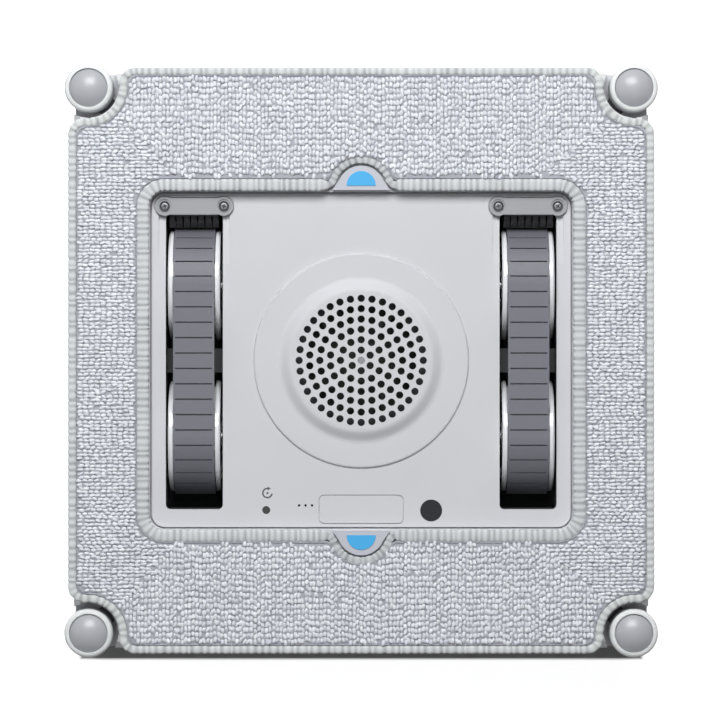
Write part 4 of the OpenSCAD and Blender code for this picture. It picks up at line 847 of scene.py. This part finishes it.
yarn, given, made = shader_group("yarn_surface", {"Light Yarn": mid_grey, "Dark Yarn": mid_grey},
                                 {"Colour": mid_grey, "Height": 0.0})
where = own_place(yarn)
fibres = noise_node(yarn, where, fibre_scale, yarn_detail)
blotches = noise_node(yarn, where, blotch_scale, yarn_detail)
own = yarn.nodes.new("ShaderNodeAttribute")
own.attribute_name = "shade"
# The shade on the points is a loop's own tone, and on bands and seams a painted shade in their folds.
dark = math_node(yarn, "MULTIPLY", own.outputs["Fac"], shade_weight)
for noise, weight in ((fibres, fibre_weight), (blotches, blotch_weight)):
    dark = math_node(yarn, "ADD", dark, math_node(yarn, "MULTIPLY", noise, weight))
dark = math_node(yarn, "SUBTRACT", dark, light_bias)
blend = yarn.nodes.new("ShaderNodeMix")
blend.data_type = "RGBA"
yarn.links.new(dark, blend.inputs["Factor"])
yarn.links.new(given["Light Yarn"], blend.inputs["A"])
yarn.links.new(given["Dark Yarn"], blend.inputs["B"])
yarn.links.new(blend.outputs["Result"], made["Colour"])
yarn.links.new(fibres, made["Height"])
print("group", yarn.name, "with", len(yarn.nodes), "nodes")

# %% [markdown]
# The loops are nearly white, and the ground between them is grey, partly its own colour and partly a
# painted shade for the gaps between loops. The bindings are a pale tape, painted grey in its folds as
# shade. The thread of the seams is the greyest, partly as a painted shade for the dark line along
# each seam.
# %% Cloth finishes
def cloth_finish(name, light, dark, fibre_depth=0.08):
    return finish_from(
        yarn, name,
        {"Roughness": 0.9, "Specular IOR Level": 0.25, "Sheen Weight": 0.25},
        {"Light Yarn": tone(*light), "Dark Yarn": tone(*dark)},
        fibre_depth)


dress(pile, cloth_finish("pile_yarn", (240, 243, 247), (208, 211, 220)))
# The ground's grey is partly a painted shade between the loops.
dress(ground, cloth_finish("pad_weave_painted_shade", (176, 178, 186), (140, 142, 150)))
dress(outer_binding, cloth_finish("outer_binding_tape", (229, 233, 233), (156, 160, 161)))
dress(inner_binding, cloth_finish("inner_binding_tape", (224, 227, 229), (152, 156, 159)))
for seam in (outer_seam, inner_seam):
    # The thread's grey is partly a painted shade along the seam.
    dress(seam, cloth_finish(seam.name + "_thread", (176, 179, 184), (122, 124, 130)))
print("materials so far", len(bpy.data.materials))

# %% [markdown]
# Hook tape holds the cloth to the housing, so all its pieces ride on the chassis. Together they
# stand for the plain solid of the pad. The loops and the two bindings are soft to the touch.
# %% Seat the cloth
for piece in (pile, ground, outer_binding, inner_binding, outer_seam, inner_seam):
    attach(piece, "chassis")
    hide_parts("cleaning_pad")
print("cloth top is", round(max(v.co.z for v in pile.data.vertices) / MM, 2), "mm up")

# %% [markdown]
# A brush stands before the end of each track and sweeps the belt. Its seven tufts are bundles of
# stiff black bristles. One bristle is a thin cone, one metre long for now, with its root at the
# middle of the scene; where it is planted, its frame gives it its true length.
# %% One bristle
bristle_r, tip_share = 0.13 * MM, 0.4

bpy.ops.object.select_all(action="DESELECT")
bpy.ops.mesh.primitive_cone_add(vertices=5, radius1=bristle_r, radius2=tip_share * bristle_r,
                                depth=1.0)
bristle = bpy.context.object
edit_all()
bpy.ops.transform.translate(value=(0, 0, 0.5))
bpy.ops.object.mode_set(mode="OBJECT")
print("one bristle has", len(bristle.data.polygons), "faces")

# %% [markdown]
# The rows of bristles spread sideways towards the tips, which lie lower and nearer the belt than
# the roots. Chance moves the tips, but none reaches past the solid on the belt's side.
# %% Plant the bristles
tuft_low, tuft_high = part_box("brush_tufts")
brush_w = 19.8 * MM
strip_t, strip_h = 0.9 * MM, 4.2 * MM
tufts, rows, columns = 7, 6, 11
tuft_w, tuft_h = 1.9 * MM, 2.7 * MM
tip_spread, tip_close = 1.22, 0.85
tip_stray, stray_shares = 0.1 * MM, (1, 0.6, 1)
bristle_run, bristle_drop = 5.0 * MM, 4.6 * MM

roots, tips = [], []
for side in (-1, 1):
    for middle in np.linspace(tuft_w / 2, brush_w - tuft_w / 2, tufts):
        for across in np.linspace(-0.5, 0.5, columns):
            for up in np.linspace(-0.5, 0.5, rows):
                x = side * (tuft_high.x - middle)
                y, z = tuft_high.y - strip_t / 2, tuft_high.z - strip_h / 2
                roots.append((x + across * tuft_w, y, z + up * tuft_h))
                tips.append((x + across * tuft_w * tip_spread, y - bristle_run,
                             z - bristle_drop + up * tuft_h * tip_close))
roots = np.array(roots)
tips = np.array(tips) + rng.normal(0, tip_stray, (len(tips), 3)) * stray_shares
tips[:, 1] = np.maximum(tips[:, 1], tuft_low.y)
along = tips - roots
beside = np.cross(along, (0.0, 0.0, 1.0))
beside /= np.linalg.norm(beside, axis=1)[:, None]
over = np.cross(along, beside)
over /= np.linalg.norm(over, axis=1)[:, None]
bristles = planted("brush_bristles", bristle, np.stack((beside, over, along), axis=2), roots,
                   rng.random(len(roots)))
bpy.data.objects.remove(bristle)

# %% [markdown]
# The tufts are stapled into a plastic strip behind each bar. A cube resized to the strip and
# duplicated to the other side gives both, and a Bevel modifier takes the edge off them.
# %% Strips that hold the tufts
strip_edge = 0.15 * MM

bpy.ops.object.select_all(action="DESELECT")
bpy.ops.mesh.primitive_cube_add(size=1.0)
strips = bpy.context.object
strips.name = strips.data.name = "brush_strips"
edit_all()
bpy.ops.transform.resize(value=(brush_w, strip_t, strip_h))
strip_middle = tuft_high - Vector((brush_w, strip_t, strip_h)) / 2
bpy.ops.transform.translate(value=strip_middle)
bpy.ops.mesh.duplicate_move(TRANSFORM_OT_translate={"value": (-2 * strip_middle.x, 0, 0)})
bpy.ops.object.mode_set(mode="OBJECT")
pick(strips)
softening = strips.modifiers.new("softening", "BEVEL")
softening.width, softening.segments = strip_edge, 2
bpy.ops.object.modifier_apply(modifier=softening.name)
bpy.ops.object.shade_smooth_by_angle()

dress(bristles, cloth_finish("bristle_nylon", (118, 118, 126), (70, 70, 76), 0.01))
dress(strips, finishes["inner_black"])
for piece in (bristles, strips):
    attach(piece, "chassis")
    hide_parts("brush_tufts")
print(strips.name, len(strips.data.polygons), "faces")

# %% [markdown]
# Two screws hold each bar. Their heads are turned steel: a raised middle, a sunken ring round it,
# whose dark colour is a painted shade, and a bright rim. A spin of the outline would do; here a
# cylinder gives the body, and insets of its top face, each moved up or down, give the rings one after
# another.
# %% Turn one screw
screw_low, screw_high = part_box("brush_screws")
head_r, head_t, shank_r = 2.2 * MM, 1.3 * MM, 0.85 * MM
turned_rings = ((0.12, 0.0), (0.2, -0.32), (0.42, -0.06), (0.12, 0.36), (0.3, 0.06), (0.4, 0.03))


def facing_faces(piece, direction, least=0.99):
    """Select, in edit mode, only the faces whose normal points along a direction."""
    mesh = bmesh.from_edit_mesh(piece.data)
    # Clearing a face clears the edges it shares too, so all are cleared before any is set.
    for face in mesh.faces:
        face.select = False
    for face in mesh.faces:
        face.select = face.normal.dot(direction) > least
    bmesh.update_edit_mesh(piece.data)


def inset_and_move(width, rise):
    """Inset the selected faces, then move them up."""
    bpy.ops.mesh.inset(thickness=width)
    bpy.ops.transform.translate(value=(0, 0, rise))


bpy.ops.object.select_all(action="DESELECT")
bpy.ops.mesh.primitive_cylinder_add(vertices=40, radius=head_r, depth=head_t,
                                    location=(0, 0, -head_t / 2))
bpy.ops.object.transform_apply(location=True)
screw = bpy.context.object
bpy.ops.object.mode_set(mode="EDIT")
facing_faces(screw, Vector((0, 0, 1)))
for ring_width, rise in turned_rings:
    inset_and_move(ring_width * MM, rise * MM)
facing_faces(screw, Vector((0, 0, -1)))
inset_and_move(head_r - shank_r, 0)
bpy.ops.mesh.extrude_region_move(
    TRANSFORM_OT_translate={"value": (0, 0, screw_low.z - screw_high.z + head_t)})
bpy.ops.object.mode_set(mode="OBJECT")
print("turned screw faces", len(screw.data.polygons))

# %% [markdown]
# The cross recess is pressed into the head. Two bars, one turned a quarter, are taken out of it
# with Boolean modifiers, which are applied so that no modifier stays on the screw.
# %% Cut the cross
cross_l, cross_w, cross_d = 1.9 * MM, 0.5 * MM, 0.8 * MM

for turn in (0, math.pi / 2):
    bpy.ops.object.select_all(action="DESELECT")
    bpy.ops.mesh.primitive_cube_add(size=1.0)
    cutter = bpy.context.object
    cutter.scale = (cross_l, cross_w, cross_d)
    cutter.rotation_euler.z = turn
    bpy.context.view_layer.objects.active = screw
    cutting = screw.modifiers.new("cross", "BOOLEAN")
    cutting.operation = "DIFFERENCE"
    cutting.object = cutter
    bpy.ops.object.modifier_apply(modifier=cutting.name)
    bpy.data.objects.remove(cutter)
print("cut screw faces", len(screw.data.polygons))

# %% [markdown]
# The sunken ring and the bottom of the cross get a second, dark material, a painted shade for these
# hollows, chosen by how far the faces are from the axis. Each copy has a turn of its own, as real
# screws end up.
# %% Finish and seat the screws
ring_from, ring_to, cross_reach, cross_floor = 1.35 * MM, 2.1 * MM, 0.75 * MM, -0.2 * MM
screw_span = 24.4 * MM
first_turn = 0.4


def own_copy(piece, name, place):
    """A copy with its own mesh, moved to its place by a matrix."""
    result = linked(name, piece.data.copy())
    result.data.name = name
    result.data.transform(place)
    return result


screw.data.materials.append(finishes["screw_steel"])
screw.data.materials.append(moulded_finish("screw_hollow_painted_shade", (64, 65, 68), 0.5, specular=0.2))
# Painted shade: faces of the sunken ring and of the cross's floor take the dark material.
for face in screw.data.polygons:
    away = math.hypot(face.center.x, face.center.y)
    in_cross = away < cross_reach and face.center.z < cross_floor
    face.material_index = int(ring_from < away < ring_to or in_cross)
screw_y = (screw_low.y + screw_high.y) / 2
screw_places = [(side * (screw_high.x - head_r - step), screw_y)
                for side in (-1, 1) for step in (0, screw_span)]
for number, (x, y) in enumerate(screw_places):
    place = Matrix.Translation((x, y, screw_high.z)) @ Matrix.Rotation(first_turn + number, 4, "Z")
    copy = own_copy(screw, f"bar_screw_{number + 1}", place)
    pick(copy)
    bpy.ops.object.shade_smooth_by_angle()
    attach(copy, "chassis")
    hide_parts("brush_screws")
    print(copy.name, "at", round(x / MM, 1), round(y / MM, 1))
bpy.data.objects.remove(screw)

# %% [markdown]
# Behind each corner bumper sits a coil spring that the arm presses together when the robot meets a
# frame. It is wire wound on a mandrel, so a helix with a round profile makes it, with its end turns
# laid close. One is wound, and each corner gets its own copy.
# %% Wind a bumper spring
spring_r, wire_r, spring_l = 2.6 * MM, 0.4 * MM, 6.9 * MM
turns, turn_points, end_turns = 6, 24, 0.8
end_height = 2.6 * wire_r

run = np.linspace(0, turns, turns * turn_points + 1)
height = np.interp(run, (0, end_turns, turns - end_turns, turns),
                   (wire_r, end_height, spring_l - end_height, spring_l - wire_r))
winding = bpy.data.curves.new("bumper_spring", "CURVE")
winding.dimensions = "3D"
winding.bevel_depth = wire_r
winding.bevel_resolution = 2
winding.use_fill_caps = True
wire = winding.splines.new("POLY")
wire.points.add(len(run) - 1)
wound_r = spring_r - wire_r
for point, turn, up in zip(wire.points, run * 2 * math.pi, height):
    point.co = (wound_r * math.cos(turn), wound_r * math.sin(turn), up, 1)
coil = linked("bumper_spring", winding)
pick(coil)
bpy.ops.object.convert(target="MESH")
bpy.ops.object.shade_smooth()
print("spring faces", len(coil.data.polygons))

# %% [markdown]
# The solid of the springs gives each one's place: its outer end meets the arm, its inner end the stop
# in the housing. Each copy stands on its stop.
# %% Seat the bumper springs
up_axis = Vector((0, 0, 1))
corner_signs = {"upper_left": (-1, 1), "upper_right": (1, 1),
                "lower_left": (-1, -1), "lower_right": (1, -1)}


def middle_along(points, direction):
    """Half way between the first and the last point along a direction."""
    reach = points @ np.array(direction)
    return (reach.min() + reach.max()) / 2


spring_node = nodes["bumper_springs"]
spring_points = np.array([spring_node.matrix_world @ v.co for v in spring_node.data.vertices])
for corner, signs in corner_signs.items():
    own = spring_points[(spring_points[:, :2] * signs > 0).all(axis=1)]
    outward = Vector((*signs, 0)).normalized()
    beside = outward.cross(up_axis)
    reach = own @ np.array(outward)
    stop = outward * reach.min() + beside * middle_along(own, beside)
    stop.z = middle_along(own, up_axis)
    place = Matrix.Translation(stop) @ outward.to_track_quat("Z", "Y").to_matrix().to_4x4()
    copy = own_copy(coil, f"bumper_spring_{corner}", place)
    dress(copy, finishes["spring_steel"])
    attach(copy, "chassis")
    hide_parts("bumper_springs")
    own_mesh(copy)
    print(copy.name, "solid", round((reach.max() - reach.min()) / MM, 2), "mm long")
bpy.data.objects.remove(coil)

# %% [markdown]
# Beside the reset button a small sign is printed: a nearly closed arrow with a dot in it. Ink has
# almost no thickness, so it is a sheet laid on the plate, found there by a ray shot down at it.
# %% Reset sign
sign_middle = Vector((-38.6 * MM, -54.6 * MM))
ring_r, stroke, dot_r, ink_t = 1.88 * MM, 0.62 * MM, 0.46 * MM, 0.03 * MM
head_half, head_l, head_shift = 0.78 * MM, 1.25 * MM, 0.1 * MM
ring_steps, dot_steps = 40, 21
gap_from, gap_to = math.radians(-6), math.radians(84)

met, on_plate, _, _ = nodes["center_plate"].ray_cast((*sign_middle, 1.0), (0, 0, -1))
bend_out = arc(sign_middle, ring_r + stroke / 2, gap_to, gap_from + 2 * math.pi, ring_steps)
bend_in = arc(sign_middle, ring_r - stroke / 2, gap_from + 2 * math.pi, gap_to, ring_steps)
head_middle = np.array(sign_middle) + (head_shift, ring_r)
head = np.array(((0, head_half), (head_l, 0), (0, -head_half))) + head_middle
dot = arc(sign_middle, dot_r, 0, 2 * math.pi, dot_steps)[:-1]
sign = flat_sheet("reset_sign", (np.concatenate((bend_out, bend_in)), head, dot),
                  on_plate.z - ink_t, on_plate.z + ink_t)
dress(sign, moulded_finish("sign_ink", (78, 80, 84), 0.6))
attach(sign, "chassis")
print("plate met:", met, "sign faces", len(sign.data.polygons))
